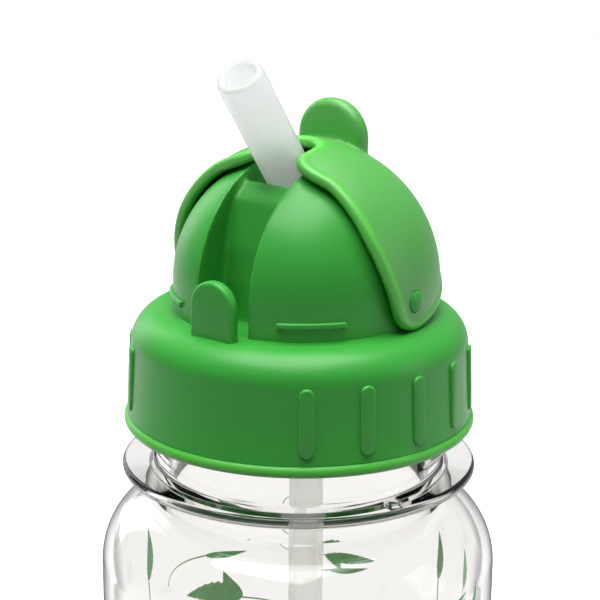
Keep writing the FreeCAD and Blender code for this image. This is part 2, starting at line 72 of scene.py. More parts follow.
MM = 0.001
JOINTS = {joint["name"]: joint for joint in frame["joints"]}
PIVOT = Vector(JOINTS["visor_tilt"]["pos_m"])
BOTTLE_HIGH = Vector(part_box("bottle_body")[1])
LID_LOW = Vector(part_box("screw_lid")[0])
STRAW_LOW, STRAW_HIGH = (Vector(corner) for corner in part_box("straw_tube"))
ACROSS = Vector((1, 0, 0))
UP = Vector((0, 0, 1))
CENTRE = Vector((0, 0, 0))


# ---------------------------------------------------------------- settings

def length(name, description, default):
    """A length property in metres."""
    return FloatProperty(name=name, description=description, default=default,
                         unit="LENGTH", precision=5)


def angle_of(name, description, degrees):
    """An angle property."""
    return FloatProperty(name=name, description=description, default=math.radians(degrees),
                         subtype="ANGLE")


def colour(name, description, default):
    """A colour property."""
    return FloatVectorProperty(name=name, description=description, default=default,
                               subtype="COLOR", size=3, min=0, max=1)


class BottleSettings(bpy.types.PropertyGroup):
    """Sizes of the clear bottle and its print."""

    radius: length("Body radius", "Outside radius of the body", 0.0365)
    wall: length("Wall", "Thickness of the wall", 0.002)
    foot_round: length("Foot round", "Radius at the foot", 0.006)
    shoulder_start: length("Shoulder start", "Height where the shoulder begins", 0.1191)
    shoulder_round: length("Shoulder round", "Radius of the shoulder", 0.014)
    neck_root: length("Neck root", "Neck radius under the flange", 0.027)
    neck_radius: length("Neck radius", "Outside radius of the neck", 0.0264)
    neck_bore: length("Neck bore", "Inside radius of the neck", 0.0247)
    flange_radius: length("Flange radius", "Outside radius of the flange", 0.0324)
    flange_height: length("Flange height", "Height of the flange's middle", 0.138)
    flange_thickness: length("Flange thickness", "Thickness of the flange", 0.0019)
    thread_start: length("Thread start", "Height where the neck's thread begins", 0.142)
    thread_pitch: length("Thread pitch", "Rise of the thread in one turn", 0.0045)


class LidSettings(bpy.types.PropertyGroup):
    """Sizes of the screw lid and its dome."""

    bead_radius: length("Bead radius", "Outside radius of the bottom bead", 0.032)
    bead_round: length("Bead round", "Half height of the bottom bead", 0.0011)
    skirt_radius: length("Skirt radius", "Skirt radius at the bottom", 0.0312)
    skirt_top: length("Skirt top radius", "Skirt radius at the top", 0.0306)
    shoulder_round: length("Shoulder round", "Radius of the lid's shoulder", 0.006)
    top: length("Lid top", "Height of the flat top", 0.1671)
    bore: length("Bore", "Inside radius of the skirt", 0.0282)
    ceiling: length("Ceiling", "Height of the ceiling inside", 0.1647)
    dome_radius: length("Dome radius", "Outside radius of the dome", 0.0229)
    dome_wall: length("Dome wall", "Thickness of the dome", 0.0022)
    channel_half: length("Channel half width", "Half the width of the channel", 0.0055)
    channel_floor: length("Channel floor", "Distance of the channel floor from the axis", 0.015)
    guard_half: length("Guard half width", "Half the width of the guard tab", 0.00465)
    guard_rise: length("Guard rise", "Height of the guard tab above the lid", 0.010)
    rib_width: length("Rib width", "Width of one grip rib", 0.0027)
    rib_pitch: angle_of("Rib pitch", "Angle between two grip ribs", 19.6)
    rib_lead: angle_of("Rib lead", "Angle of each row's middle in front of the pivots", 1.65)
    ribs_per_side: IntProperty(name="Ribs per side", description="Grip ribs on each side", default=6)
    grain: length("Mesh grain", "Cell size of the moulded dome's mesh", 0.00038)


class VisorSettings(bpy.types.PropertyGroup):
    """Sizes of the turning visor."""

    inner: length("Inner radius", "Inside radius of the visor", 0.0239)
    outer: length("Outer radius", "Outside radius of the visor", 0.0252)
    edge_round: length("Edge round", "Radius of the rolled edge", 0.00112)
    thumb_half: length("Thumb tab half width", "Half the width of the thumb tab", 0.0073)
    thumb_top: length("Thumb tab top", "Height of the thumb tab above the pivot", 0.0314)
    thumb_back: length("Thumb tab place", "Distance of the thumb tab behind the axis", 0.0096)
    thumb_thickness: length("Thumb tab thickness", "Thickness of the thumb tab", 0.0034)
    grain: length("Mesh grain", "Cell size of the moulded visor's mesh", 0.000295)


class SpoutSettings(bpy.types.PropertyGroup):
    """Sizes of the silicone spout and the straw."""

    radius: length("Spout radius", "Outside radius of the spout", 0.0042)
    bore: length("Spout bore", "Inside radius of the spout", 0.00265)
    lean: angle_of("Lean", "Angle of the spout from upright", 36)
    bend_radius: length("Bend radius", "Radius of the bend in the well", 0.014)
    bend_start: length("Bend start", "Height of the bend above the pivot", 0.00665)
    set_back: length("Set back", "Distance of the straw behind the bottle's axis", 0.0025)
    foot_run: length("Foot run", "Straight run above the bend that stays in the well", 0.0068)
    stem_run: length("Stem run", "Straight run between the well and the mouth", 0.01715)
    mouth_run: length("Mouth run", "Length of the mouth end", 0.0057)


class FinishSettings(bpy.types.PropertyGroup):
    """Colours of the finishes, with the painted rim light, sheen and edge shade among them."""

    green: colour("Lid green", "Colour of the lid", (0.042, 0.375, 0.045))
    # visor green: the plastic's own green, made a little paler as painted sheen of its textured
    # surface
    visor_green_and_sheen: colour("Visor green", "Colour of the visor", (0.075, 0.395, 0.06))
    # painted rim light: a lighter green on thin edges, standing in for light shining through them and
    # highlights on them
    green_rim_light: colour("Rim green", "Colour of thin edges that let light through",
                      (0.09, 0.53, 0.055))
    clear: colour("Bottle tint", "Tint of the clear plastic", (0.965, 0.955, 0.941))
    # painted shade: the dark tint the clear plastic takes edge-on stands in for darker surroundings
    # seen through its walls
    clear_edge_shade: colour("Bottle edge tint", "Tint of the clear plastic seen edge-on",
                       (0.20, 0.18, 0.17))
    silicone: colour("Silicone", "Colour of the spout", (0.945, 0.952, 0.95))
    straw: colour("Straw", "Colour of the straw", (0.95, 0.95, 0.93))
    leaf: colour("Leaf ink", "Colour of the printed leaves", (0.06, 0.30, 0.05))
    stem: colour("Stem ink", "Colour of the printed stems", (0.16, 0.30, 0.05))
    floor: colour("Floor", "Colour of the floor", (0.93, 0.93, 0.93))


class StageSettings(bpy.types.PropertyGroup):
    """Place of the camera and strength of the lights."""

    azimuth: angle_of("Azimuth", "Angle of the camera around the bottle", 37)
    pitch: angle_of("Pitch", "Angle of the camera below level", 16.07)
    roll: angle_of("Roll", "Turn of the camera about its own axis", 0.5)
    distance: length("Distance", "Level distance from the bottle's axis", 0.330)
    height: length("Height", "Height of the camera above the floor", 0.2634)
    lens: FloatProperty(name="Lens", description="Focal length in millimetres", default=114.0)
    world: FloatProperty(name="Surround", description="Strength of the surround", default=0.9)


SETTINGS = {
    "bottle_sizes": BottleSettings,
    "lid_sizes": LidSettings,
    "visor_sizes": VisorSettings,
    "spout_sizes": SpoutSettings,
    "bottle_finishes": FinishSettings,
    "bottle_stage": StageSettings,
}


# ---------------------------------------------------------------- mesh helpers

def arc_points(centre, radius, start, end, steps):
    """Points on an arc, with angles in degrees."""
    found = []
    for i in range(steps + 1):
        angle = math.radians(start + (end - start) * i / steps)
        found.append((centre[0] + radius * math.cos(angle), centre[1] + radius * math.sin(angle)))
    return found


def rounded(corners, steps=8):
    """A closed outline whose corners are rounded by the radius given as their third entry."""
    found = []
    count = len(corners)
    for i, corner in enumerate(corners):
        here = Vector(corner[:2])
        if len(corner) < 3:
            found.append(tuple(here))
            continue
        before = (Vector(corners[i - 1][:2]) - here).normalized()
        after = (Vector(corners[(i + 1) % count][:2]) - here).normalized()
        half = before.angle(after) / 2
        reach = corner[2] / math.tan(half)
        centre = here + (before + after).normalized() * corner[2] / math.sin(half)
        start = here + before * reach - centre
        turn = start.angle_signed(here + after * reach - centre)
        for step in range(steps + 1):
            spoke = start.copy()
            spoke.rotate(Matrix.Rotation(-turn * step / steps, 2))
            found.append(tuple(centre + spoke))
    return found


def start_loop(bm, points, closed=True):
    """Vertices joined by edges, through (x, y, z) points."""
    verts = [bm.verts.new(point) for point in points]
    edges = [bm.edges.new(pair) for pair in zip(verts, verts[1:])]
    if closed:
        edges.append(bm.edges.new((verts[-1], verts[0])))
    return verts, edges


def tidy(bm, merge=1e-6):
    """Merge doubles and turn every face outwards."""
    bmesh.ops.remove_doubles(bm, verts=bm.verts, dist=merge)
    bmesh.ops.recalc_face_normals(bm, faces=bm.faces)


def turned(profile, steps=160, closed=True):
    """A bmesh made by turning an (r, z) profile about the Z axis."""
    bm = bmesh.new()
    verts, edges = start_loop(bm, [(r, 0, z) for r, z in profile], closed)
    bmesh.ops.spin(bm, geom=verts + edges, cent=CENTRE, axis=UP, angle=math.tau, steps=steps,
                   use_merge=True)
    tidy(bm)
    return bm


def flat_face(bm, points):
    """A face with an outline of (x, y, z) points."""
    verts, _ = start_loop(bm, points)
    return bm.faces.new(verts)


def extruded(points, direction):
    """A closed block made from a flat outline of (x, y, z) points."""
    bm = bmesh.new()
    face = flat_face(bm, points)
    grown = bmesh.ops.extrude_face_region(bm, geom=[face])["geom"]
    moved = [item for item in grown if isinstance(item, bmesh.types.BMVert)]
    bmesh.ops.translate(bm, vec=direction, verts=moved)
    tidy(bm)
    return bm


def bevel(bm, edges, radius, segments):
    """Round some edges."""
    bmesh.ops.bevel(bm, geom=edges, offset=radius, affect="EDGES", segments=segments,
                    profile=0.5, material=-1, clamp_overlap=True)


def round_edges(bm, radius, segments, least_angle=30):
    """Round every edge that turns by more than an angle in degrees."""
    bevel(bm, [edge for edge in bm.edges if len(edge.link_faces) == 2
               and edge.calc_face_angle(0) > math.radians(least_angle)], radius, segments)


def place_mesh(bm, turn, shift=CENTRE):
    """Rotate a mesh about the origin by a 3x3 matrix, then move it."""
    bmesh.ops.rotate(bm, verts=bm.verts, cent=CENTRE, matrix=turn)
    bmesh.ops.translate(bm, verts=bm.verts, vec=shift)


def upright_tab(half, heights, top_round, steps, start, depth, soft):
    """An upright tab across X with a rounded top and softened edges."""
    low, high = heights
    outline = rounded([(-half, low), (half, low), (half, high, top_round),
                       (-half, high, top_round)], steps)
    bm = extruded([(x, start, z) for x, z in outline], Vector((0, depth, 0)))
    round_edges(bm, soft, 6, 50)
    return bm


def thread_ridge(radius, side, start, pitch, turns, crest_half, soft):
    """A rounded helical ridge that stands out from a cylinder (side 1) or into it (side -1)."""
    steps_per_turn = 72
    root, crest = radius - side * 0.35 * MM, radius + side * 1.2 * MM
    section = rounded([(root, start - side * MM), (crest, start - side * crest_half, soft),
                       (crest, start + side * crest_half, soft), (root, start + side * MM)], 4)
    bm = bmesh.new()
    face = flat_face(bm, [(r, 0, z) for r, z in section])
    bmesh.ops.spin(bm, geom=[face], cent=CENTRE, axis=UP, dvec=UP * (pitch / steps_per_turn),
                   angle=math.tau * turns, steps=int(turns * steps_per_turn))
    return bm


def link_object(name, data):
    """A new object in the scene, at the origin."""
    item = bpy.data.objects.new(name, data)
    bpy.context.scene.collection.objects.link(item)
    return item


def make_object(name, bm):
    """Turn a bmesh into an object."""
    mesh = bpy.data.meshes.new(name)
    bm.to_mesh(mesh)
    bm.free()
    return link_object(name, mesh)


def finish_piece(piece, body, finish, stands_for=()):
    """Smooth a piece, give it its finish and put it on its body."""
    piece.data.shade_smooth()
    piece.data.set_sharp_from_angle(angle=math.radians(38))
    piece.data.materials.clear()
    piece.data.materials.append(finish_named(finish))
    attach(piece, body)
    if stands_for:
        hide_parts(*stands_for)
    return piece


def add_piece(name, bm, body, slot, finish, stands_for=()):
    """A finished piece made from a bmesh."""
    return finish_piece(make_object(name, bm), body, finish, stands_for)


def apply_modifiers(piece):
    """Keep what the modifiers make as the piece's own mesh."""
    depsgraph = bpy.context.evaluated_depsgraph_get()
    depsgraph.update()
    mesh = bpy.data.meshes.new_from_object(piece.evaluated_get(depsgraph))
    old = piece.data
    piece.modifiers.clear()
    piece.data = mesh
    bpy.data.meshes.remove(old)
    mesh.name = piece.name


def combine(piece, tool, operation):
    """Cut, join or intersect a piece with a tool, and remove the tool."""
    change = piece.modifiers.new("combine", "BOOLEAN")
    change.operation = operation
    change.solver = "EXACT"
    change.object = tool
    apply_modifiers(piece)
    bpy.data.objects.remove(tool)


def mould(piece, grain, passes):
    """Remesh a piece in small cells and smooth it, so that its edges are as soft as a moulding's."""
    cells = piece.modifiers.new("cells", "REMESH")
    cells.mode = "VOXEL"
    cells.voxel_size = grain
    apply_modifiers(piece)
    bm = bmesh.new()
    bm.from_mesh(piece.data)
    for _ in range(passes):
        bmesh.ops.smooth_vert(bm, verts=bm.verts, factor=0.5, use_axis_x=True, use_axis_y=True,
                              use_axis_z=True)
    bm.to_mesh(piece.data)
    bm.free()


# ---------------------------------------------------------------- shader groups

def new_group(name, inputs, outputs):
    """An empty shader group with its sockets, and its input and output nodes."""
    group = bpy.data.node_groups.new(name, "ShaderNodeTree")
    for label, kind, default in inputs:
        socket = group.interface.new_socket(label, in_out="INPUT", socket_type=kind)
        if default is not None:
            socket.default_value = default
    for label, kind in outputs:
        group.interface.new_socket(label, in_out="OUTPUT", socket_type=kind)
    return group, group.nodes.new("NodeGroupInput"), group.nodes.new("NodeGroupOutput")


def feed(tree, node, values):
    """Link or set a node's inputs, by name or number; colours come without their alpha."""
    for label, value in values.items():
        socket = node.inputs[label]
        if isinstance(value, bpy.types.NodeSocket):
            tree.links.new(value, socket)
        else:
            socket.default_value = (*value, 1.0) if socket.type == "RGBA" else value
    return node


def add_node(tree, kind, values=(), **settings):
    """A shader node of a kind with its settings, and its inputs linked or set."""
    node = tree.nodes.new("ShaderNode" + kind)
    for name, value in settings.items():
        setattr(node, name, value)
    return feed(tree, node, dict(values))


def math_node(tree, operation, *values, clamp=False):
    """A Math node whose inputs are numbers or sockets; returns its output."""
    return add_node(tree, "Math", enumerate(values), operation=operation,
                    use_clamp=clamp).outputs[0]


def mix_colours(tree, factor, first, second):
    """A mix of two colours; returns its output."""
    return add_node(tree, "Mix", {"Factor": factor, "A": first, "B": second},
                    data_type="RGBA").outputs["Result"]


def mix_shaders(tree, factor, first, second):
    """A mix of two shaders; returns its output."""
    return add_node(tree, "MixShader", {0: factor, 1: first, 2: second}).outputs["Shader"]


def ramp(tree, value, low, high, kind="SMOOTHSTEP", least=0.0, most=1.0):
    """A value brought from one range to another; returns its output."""
    return add_node(tree, "MapRange", {"Value": value, "From Min": low, "From Max": high,
                                       "To Min": least, "To Max": most},
                    interpolation_type=kind).outputs["Result"]


def noise_node(tree, vector, scale, detail, roughness):
    """A Noise Texture on a vector; scale is a number or a socket."""
    return add_node(tree, "TexNoise", {"Vector": vector, "Scale": scale, "Detail": detail,
                                       "Roughness": roughness}).outputs["Fac"]


def spark_texture_group():
    """The fine pitted texture of a spark-eroded mould, as a height and a roughness."""
    group, source, result = new_group(
        "Spark texture",
        [("Vector", "NodeSocketVector", None), ("Scale", "NodeSocketFloat", 2600.0),
         ("Strength", "NodeSocketFloat", 1.0), ("Roughness", "NodeSocketFloat", 0.45)],
        [("Height", "NodeSocketFloat"), ("Roughness", "NodeSocketFloat")])
    fine = noise_node(group, source.outputs["Vector"], source.outputs["Scale"], 2.0, 0.6)
    wide = math_node(group, "MULTIPLY", source.outputs["Scale"], 0.31)
    coarse = noise_node(group, source.outputs["Vector"], wide, 2.0, 0.5)
    both = math_node(group, "MULTIPLY_ADD", coarse, 0.45, fine)
    height = math_node(group, "MULTIPLY", both, source.outputs["Strength"])
    swing = math_node(group, "MULTIPLY_ADD", coarse, 0.16, -0.08)
    rough = math_node(group, "ADD", source.outputs["Roughness"], swing, clamp=True)
    feed(group, result, {"Height": height, "Roughness": rough})
    return group


def colour_drift_group():
    """A slow drift of a colour over the surface, and a rim colour where the mask is high (painted rim
    light for the green finishes).
    """
    group, source, result = new_group(
        "Colour drift",
        [("Vector", "NodeSocketVector", None), ("Colour", "NodeSocketColor", None),
         ("Rim colour", "NodeSocketColor", None), ("Rim", "NodeSocketFloat", 0.0),
         ("Amount", "NodeSocketFloat", 0.08)],
        [("Colour", "NodeSocketColor")])
    drift = noise_node(group, source.outputs["Vector"], 38.0, 3.0, 0.5)
    swing = math_node(group, "MULTIPLY_ADD", drift, 2.0, -1.0)
    amount = math_node(group, "MULTIPLY", swing, source.outputs["Amount"])
    value = math_node(group, "ADD", amount, 1.0)
    shade = add_node(group, "HueSaturation", {"Value": value, "Color": source.outputs["Colour"]})
    mixed = mix_colours(group, source.outputs["Rim"], shade.outputs["Color"],
                        source.outputs["Rim colour"])
    feed(group, result, {"Colour": mixed})
    return group


def handling_group():
    """Faint smears and hairline marks on a polished surface, as a roughness and a height."""
    group, source, result = new_group(
        "Handling marks",
        [("Vector", "NodeSocketVector", None), ("Roughness", "NodeSocketFloat", 0.05),
         ("Smear", "NodeSocketFloat", 0.06)],
        [("Roughness", "NodeSocketFloat"), ("Height", "NodeSocketFloat")])
    smear = noise_node(group, source.outputs["Vector"], 55.0, 5.0, 0.6)
    sharper = math_node(group, "SMOOTH_MAX", math_node(group, "SUBTRACT", smear, 0.5), 0.0, 0.1)
    added = math_node(group, "MULTIPLY", sharper, source.outputs["Smear"])
    rough = math_node(group, "ADD", source.outputs["Roughness"], added, clamp=True)
    wave = noise_node(group, source.outputs["Vector"], 24.0, 1.0, 0.4)
    feed(group, result, {"Roughness": rough, "Height": wave})
    return group


GROUPS = {}


def shader_group(name):
    """A shared shader group, built the first time it is asked for."""
    makers = {"spark": spark_texture_group, "drift": colour_drift_group,
              "handling": handling_group}
    if name not in GROUPS:
        GROUPS[name] = makers[name]()
    return GROUPS[name]


def start_material(name):
    """A new material with its Principled shader and Object coordinates."""
    material = bpy.data.materials.new(name)
    material.use_nodes = True
    tree = material.node_tree
    shader = tree.nodes["Principled BSDF"]
    return material, tree, shader, add_node(tree, "TexCoord").outputs["Object"]


def place_group(tree, name, vector, **values):
    """Put a shared group in a material and link or set its inputs."""
    named = {label.replace("_", " ").capitalize(): value for label, value in values.items()}
    return add_node(tree, "Group", {"Vector": vector, **named}, node_tree=shader_group(name))


def add_bump(tree, shader, height, strength, distance):
    """Feed a height to the shader's normal."""
    bump = add_node(tree, "Bump", {"Strength": strength, "Distance": distance, "Height": height})
    feed(tree, shader, {"Normal": bump.outputs["Normal"]})


def store_rim_light(piece, measure):
    """Store a mask from 0 to 1 on a piece's vertices, as the attribute where the green finish paints
    rim light.
    """
    marks = [min(1.0, max(0.0, measure(vert.co))) for vert in piece.data.vertices]
    piece.data.attributes.new("rim", "FLOAT", "POINT").data.foreach_set("value", marks)


def green_material(name, finishes, roughness, texture, depth, part="lid"):
    """Green polypropylene with a mould texture and painted rim light on thin edges, for the lid, its
    dome or the visor.
    """
    material, tree, shader, place = start_material(name)
    visor = part == "visor"
    # painted rim light: the stored mask, and for the lid and dome also the mesh's pointiness on convex
    # edges, lightens the green
    rim = add_node(tree, "Attribute", attribute_name="rim").outputs["Fac"]
    if not visor:
        edges = add_node(tree, "NewGeometry").outputs["Pointiness"]
        rim = math_node(tree, "MAXIMUM", rim, ramp(tree, edges, 0.53, 0.62, "LINEAR"))
    if part == "dome":
        # the texture is stronger in the channel, and only the edges near it get the painted rim light
        parts = add_node(tree, "SeparateXYZ", {"Vector": place})
        side = math_node(tree, "ABSOLUTE", parts.outputs["X"])
        inside = math_node(tree, "LESS_THAN", side, 5.2 * MM)
        near = math_node(tree, "LESS_THAN", side, 10 * MM)
        texture = math_node(tree, "MULTIPLY_ADD", inside, 0.8, texture)
        rim = math_node(tree, "MULTIPLY", rim, near)
    grain = place_group(tree, "spark", place, strength=texture, roughness=roughness, scale=2400.0)
    drift = place_group(tree, "drift", place, rim=rim, rim_colour=finishes.green_rim_light, amount=0.05,
                        colour=finishes.visor_green_and_sheen if visor else finishes.green)
    feed(tree, shader, {
        "Base Color": drift.outputs["Colour"],
        "Roughness": grain.outputs["Roughness"],
        "Specular IOR Level": 0.75 if visor else 0.36,
        "Subsurface Weight": 0.12,
        "Subsurface Radius": (0.4, 1.0, 0.3),
        "Subsurface Scale": 0.0012,
    })
    add_bump(tree, shader, grain.outputs["Height"], 0.6, depth)
    return material


def clear_material(finishes):
    """Clear polished plastic with painted shade edge-on, that lets shadow rays through."""
    material, tree, shader, place = start_material("clear_plastic")
    marks = place_group(tree, "handling", place, roughness=0.015, smear=0.05)
    facing = add_node(tree, "LayerWeight", {"Blend": 0.5}).outputs["Facing"]
    # painted shade: towards grazing angles the base colour turns to the dark edge tint
    edge_shade_mask = ramp(tree, facing, 0.68, 0.96)
    feed(tree, shader, {
        "Base Color": mix_colours(tree, edge_shade_mask, finishes.clear, finishes.clear_edge_shade),
        "Roughness": marks.outputs["Roughness"],
        "Transmission Weight": 1.0,
        "IOR": 1.35,
    })
    add_bump(tree, shader, marks.outputs["Height"], 0.12, 0.0006)
    # painted shade: an opaque dark diffuse is mixed in at up to 85 percent at grazing angles
    shade = add_node(tree, "BsdfDiffuse", {"Color": [part * 0.3 for part in finishes.clear_edge_shade]})
    edge = mix_shaders(tree, math_node(tree, "MULTIPLY", edge_shade_mask, 0.85), shader.outputs["BSDF"],
                       shade.outputs["BSDF"])
    path = add_node(tree, "LightPath")
    through = add_node(tree, "BsdfTransparent", {"Color": (0.93, 0.93, 0.93)})
    shown = mix_shaders(tree, path.outputs["Is Shadow Ray"], edge, through.outputs["BSDF"])
    feed(tree, tree.nodes["Material Output"], {"Surface": shown})
    return material


def milky_material(name, rgb, transmission, roughness, glow):
    """A milky, translucent soft plastic with a faint painted glow that stands in for light scattered
    inside it.
    """
    material, tree, shader, place = start_material(name)
    marks = place_group(tree, "handling", place, roughness=roughness, smear=0.12)
    drift = place_group(tree, "drift", place, colour=rgb, amount=0.025)
    feed(tree, shader, {
        "Base Color": drift.outputs["Colour"],
        "Roughness": marks.outputs["Roughness"],
        "IOR": 1.42,
        "Transmission Weight": transmission,
        # painted glow: a faint emission in the plastic's own colour
        "Emission Color": rgb,
        "Emission Strength": glow,
    })
    add_bump(tree, shader, marks.outputs["Height"], 0.1, 0.0004)
    return material


def joint_face_material():
    """An unseen face inside the spout's wall, where two of its pieces meet."""
    material, _, shader, _ = start_material("silicone_joint")
    shader.inputs["Alpha"].default_value = 0.0
    return material


def ink_material(name, rgb):
    """Printing ink with a slight unevenness."""
    material, tree, shader, place = start_material(name)
    streak = noise_node(tree, place, 420.0, 3.0, 0.6)
    uneven = math_node(tree, "MULTIPLY_ADD", streak, 1.6, -0.6, clamp=True)
    drift = place_group(tree, "drift", place, colour=rgb, amount=0.25, rim=uneven,
                        rim_colour=[min(1.0, part * 1.8) for part in rgb])
    feed(tree, shader, {"Base Color": drift.outputs["Colour"], "Roughness": 0.4})
    return material


def seal_material(finishes):
    """Matt white seal rubber."""
    material, tree, shader, place = start_material("seal_rubber")
    grain = place_group(tree, "spark", place, strength=0.5, roughness=0.6, scale=1800.0)
    drift = place_group(tree, "drift", place, colour=finishes.silicone, amount=0.04)
    feed(tree, shader, {"Base Color": drift.outputs["Colour"],
                        "Roughness": grain.outputs["Roughness"]})
    add_bump(tree, shader, grain.outputs["Height"], 0.4, 0.00004)
    return material


MATERIALS = {}


def finish_named(name):
    """A finish by name, made the first time it is asked for."""
    finishes = bpy.context.scene.bottle_finishes
    makers = {
        "green_satin": lambda: green_material("green_satin", finishes, 0.36, 0.5, 0.00003),
        "green_dome": lambda: green_material("green_dome", finishes, 0.36, 0.4, 0.00005, "dome"),
        "green_spark": lambda: green_material("green_spark", finishes, 0.44, 1.0, 0.00007, "visor"),
        "clear": lambda: clear_material(finishes),
        # the silicone's and the straw's last number is the strength of their painted glow
        "silicone": lambda: milky_material("silicone", finishes.silicone, 0.8, 0.45, 0.045),
        "joint_face": joint_face_material,
        "straw": lambda: milky_material("straw_plastic", finishes.straw, 0.8, 0.25, 0.035),
        "leaf_ink": lambda: ink_material("leaf_ink", finishes.leaf),
        "stem_ink": lambda: ink_material("stem_ink", finishes.stem),
        "seal": lambda: seal_material(finishes),
    }
    if name not in MATERIALS:
        MATERIALS[name] = makers[name]()
    return MATERIALS[name]


# ---------------------------------------------------------------- bottle

def bottle_profile(sizes):
    """Outside of the bottle from the foot up, then the inside back down, as (r, z) points."""
    wall, foot = sizes.wall, sizes.foot_round
    push_up, dish = 3.2 * MM, 23.0 * MM
    ring = 27.5 * MM
    flat = sizes.radius - foot
    start = sizes.shoulder_start
    centre = (sizes.radius - sizes.shoulder_round, start)
    out_angle = math.degrees(math.acos((sizes.neck_root - centre[0]) / sizes.shoulder_round))
    inner_round = sizes.shoulder_round - wall
    in_angle = math.degrees(math.acos((sizes.neck_bore - centre[0]) / inner_round))
    low = sizes.flange_height - sizes.flange_thickness / 2
    high = sizes.flange_height + sizes.flange_thickness / 2
    edge = sizes.flange_thickness * 0.42
    lip = BOTTLE_HIGH.z
    top = [
        (sizes.neck_root, low, 0.5 * MM),
        (sizes.flange_radius, low, edge),
        (sizes.flange_radius, high, edge),
        (sizes.neck_radius, high, 0.6 * MM),
        (sizes.neck_radius, lip, 0.6 * MM),
        (sizes.neck_bore, lip, 0.6 * MM),
    ]
    shoulder = arc_points(centre, sizes.shoulder_round, 0, out_angle, 26)
    inside = arc_points(centre, inner_round, in_angle, 0, 26)
    neck_low = (sizes.neck_root, shoulder[-1][1] + 0.8 * MM)
    bore_low = (sizes.neck_bore, inside[0][1] + 0.6 * MM)
    ring_of_neck = rounded([neck_low] + top + [bore_low], 5)
    outer_foot = arc_points((flat, foot), foot, -90, 0, 16)
    inner_foot = arc_points((flat, foot), foot - wall, 0, -90, 12)
    return ([(0, push_up), (dish, 1.4 * MM), (ring - 1.2 * MM, 0.25 * MM), (ring, 0)]
            + outer_foot + shoulder + ring_of_neck + inside + inner_foot
            + [(ring, wall), (dish, 1.4 * MM + wall), (0, push_up + wall)])


def neck_thread(sizes, turns=2.5):
    """The ridge along the neck, fading out at both ends."""
    low = sizes.thread_start
    bm = thread_ridge(sizes.neck_radius, 1, low, sizes.thread_pitch, turns, 0.55 * MM, 0.4 * MM)
    root = sizes.neck_radius - 0.35 * MM
    high = low + sizes.thread_pitch * turns
    fade = sizes.thread_pitch * 0.22
    for vert in bm.verts:
        share = min(1.0, (vert.co.z - low + fade) / fade, (high - vert.co.z + fade) / fade)
        radius = vert.co.xy.length
        vert.co.xy *= (root + (radius - root) * max(0.0, share)) / radius
    tidy(bm)
    return bm


class OBJECT_OT_clear_bottle(bpy.types.Operator):
    """Model the clear bottle with its thread and stop lug"""

    bl_idname = "object.clear_bottle"
    bl_label = "Clear Bottle"

    def execute(self, context):
        sizes = context.scene.bottle_sizes
        look = ("bottle", "clear_plastic", "clear")
        add_piece("bottle_shell", turned(bottle_profile(sizes), 192), *look, ["bottle_body"])
        add_piece("bottle_thread", neck_thread(sizes), *look)
        low = sizes.flange_height + sizes.flange_thickness / 2 - 0.2 * MM
        near, far, half = 29.5 * MM, 32.1 * MM, 1.2 * MM
        lug = extruded([(near, -half, low), (far, -half, low), (far, half, low),
                        (near, half, low)], UP * 1.4 * MM)
        round_edges(lug, 0.25 * MM, 3)
        place_mesh(lug, Matrix.Rotation(math.radians(-21), 3, "Z"))
        add_piece("bottle_stop_lug", lug, *look)
        return {"FINISHED"}


# ---------------------------------------------------------------- print

def wrap_print(bm, sizes, azimuth, height, turn):
    """Turn a flat drawing, place it and wrap it onto the bottle, a hair outside its surface."""
    spin = Matrix.Rotation(turn, 3, "Z")
    for vert in bm.verts:
        flat = spin @ vert.co
        angle = azimuth + flat.x / sizes.radius
        above = max(0.0, height + flat.y - sizes.shoulder_start)
        skin = (sizes.radius - sizes.shoulder_round + 0.05 * MM + vert.co.z
                + math.sqrt(sizes.shoulder_round**2 - above**2))
        vert.co = Vector((skin * math.cos(angle), skin * math.sin(angle), height + flat.y))


def leaf_blade(long, wide, bend, teeth):
    """A pointed leaf with a folded midrib and a toothed edge, lying flat."""
    bm = bmesh.new()
    bmesh.ops.create_grid(bm, x_segments=44, y_segments=6, size=1.0)
    for vert in bm.verts:
        along, across = (vert.co.x + 1) / 2, vert.co.y
        body = math.sin(math.pi * along ** 0.75) ** 0.9
        tooth = 1 - teeth * ((along * 9 + across * 0.2) % 1.0)
        vert.co.x = along * long
        vert.co.y = across * wide * body * tooth / 2 + bend * math.sin(math.pi * along) * long
        vert.co.z = 0.012 * MM * (1 - abs(across)) * body
    tidy(bm)
    return bm


def curled_stem(long, curl, width):
    """A thin stem that starts straight and curls up at its end, lying flat."""
    bm = bmesh.new()
    steps = 48
    left, right = [], []
    point, angle = Vector((0, 0)), 0.0
    for i in range(steps + 1):
        along = i / steps
        angle += curl * along ** 2 * 0.2
        heading = Vector((math.cos(angle), math.sin(angle)))
        side = Vector((-heading.y, heading.x)) * width * (1 - 0.6 * along) / 2
        left.append(point + side)
        right.append(point - side)
        point = point + heading * long / steps
    _, first = start_loop(bm, [(*p, 0) for p in left], closed=False)
    _, second = start_loop(bm, [(*p, 0) for p in right], closed=False)
    bmesh.ops.bridge_loops(bm, edges=first + second)
    return bm


# azimuth from the front in degrees, height, turn in degrees, length, width and curl of the stem
SPRIGS = [
    (-111, 106, 174, 10, 2.2, -0.5), (-152, 106, 188, 11, 3.8, 0.9), (-153, 101, 172, 9, 1.8, -1.3),
    (-124, 94, 12, 14, 6.0, 0.6), (-84, 104, 96, 12, 2.6, 0.4), (163, 104, 84, 11, 2.4, -0.5),
    (144, 106, 75, 9, 2.6, 0.7), (8, 109, 12, 13, 5.6, 0.8), (96.5, 112, 84, 9.5, 1.6, 0.5),
    (84, 118, 28, 6, 0.8, 1.5), (52, 104, -25, 12, 4.4, -0.7), (-38, 103, 28, 12, 4.2, 0.6),
]
# how many sprigs are spread over the rest of the body
SCATTERED = 18


def join_mesh(target, part):
    """Add one bmesh to another and free it."""
    mesh = bpy.data.meshes.new("part")
    part.to_mesh(mesh)
    part.free()
    target.from_mesh(mesh)
    bpy.data.meshes.remove(mesh)


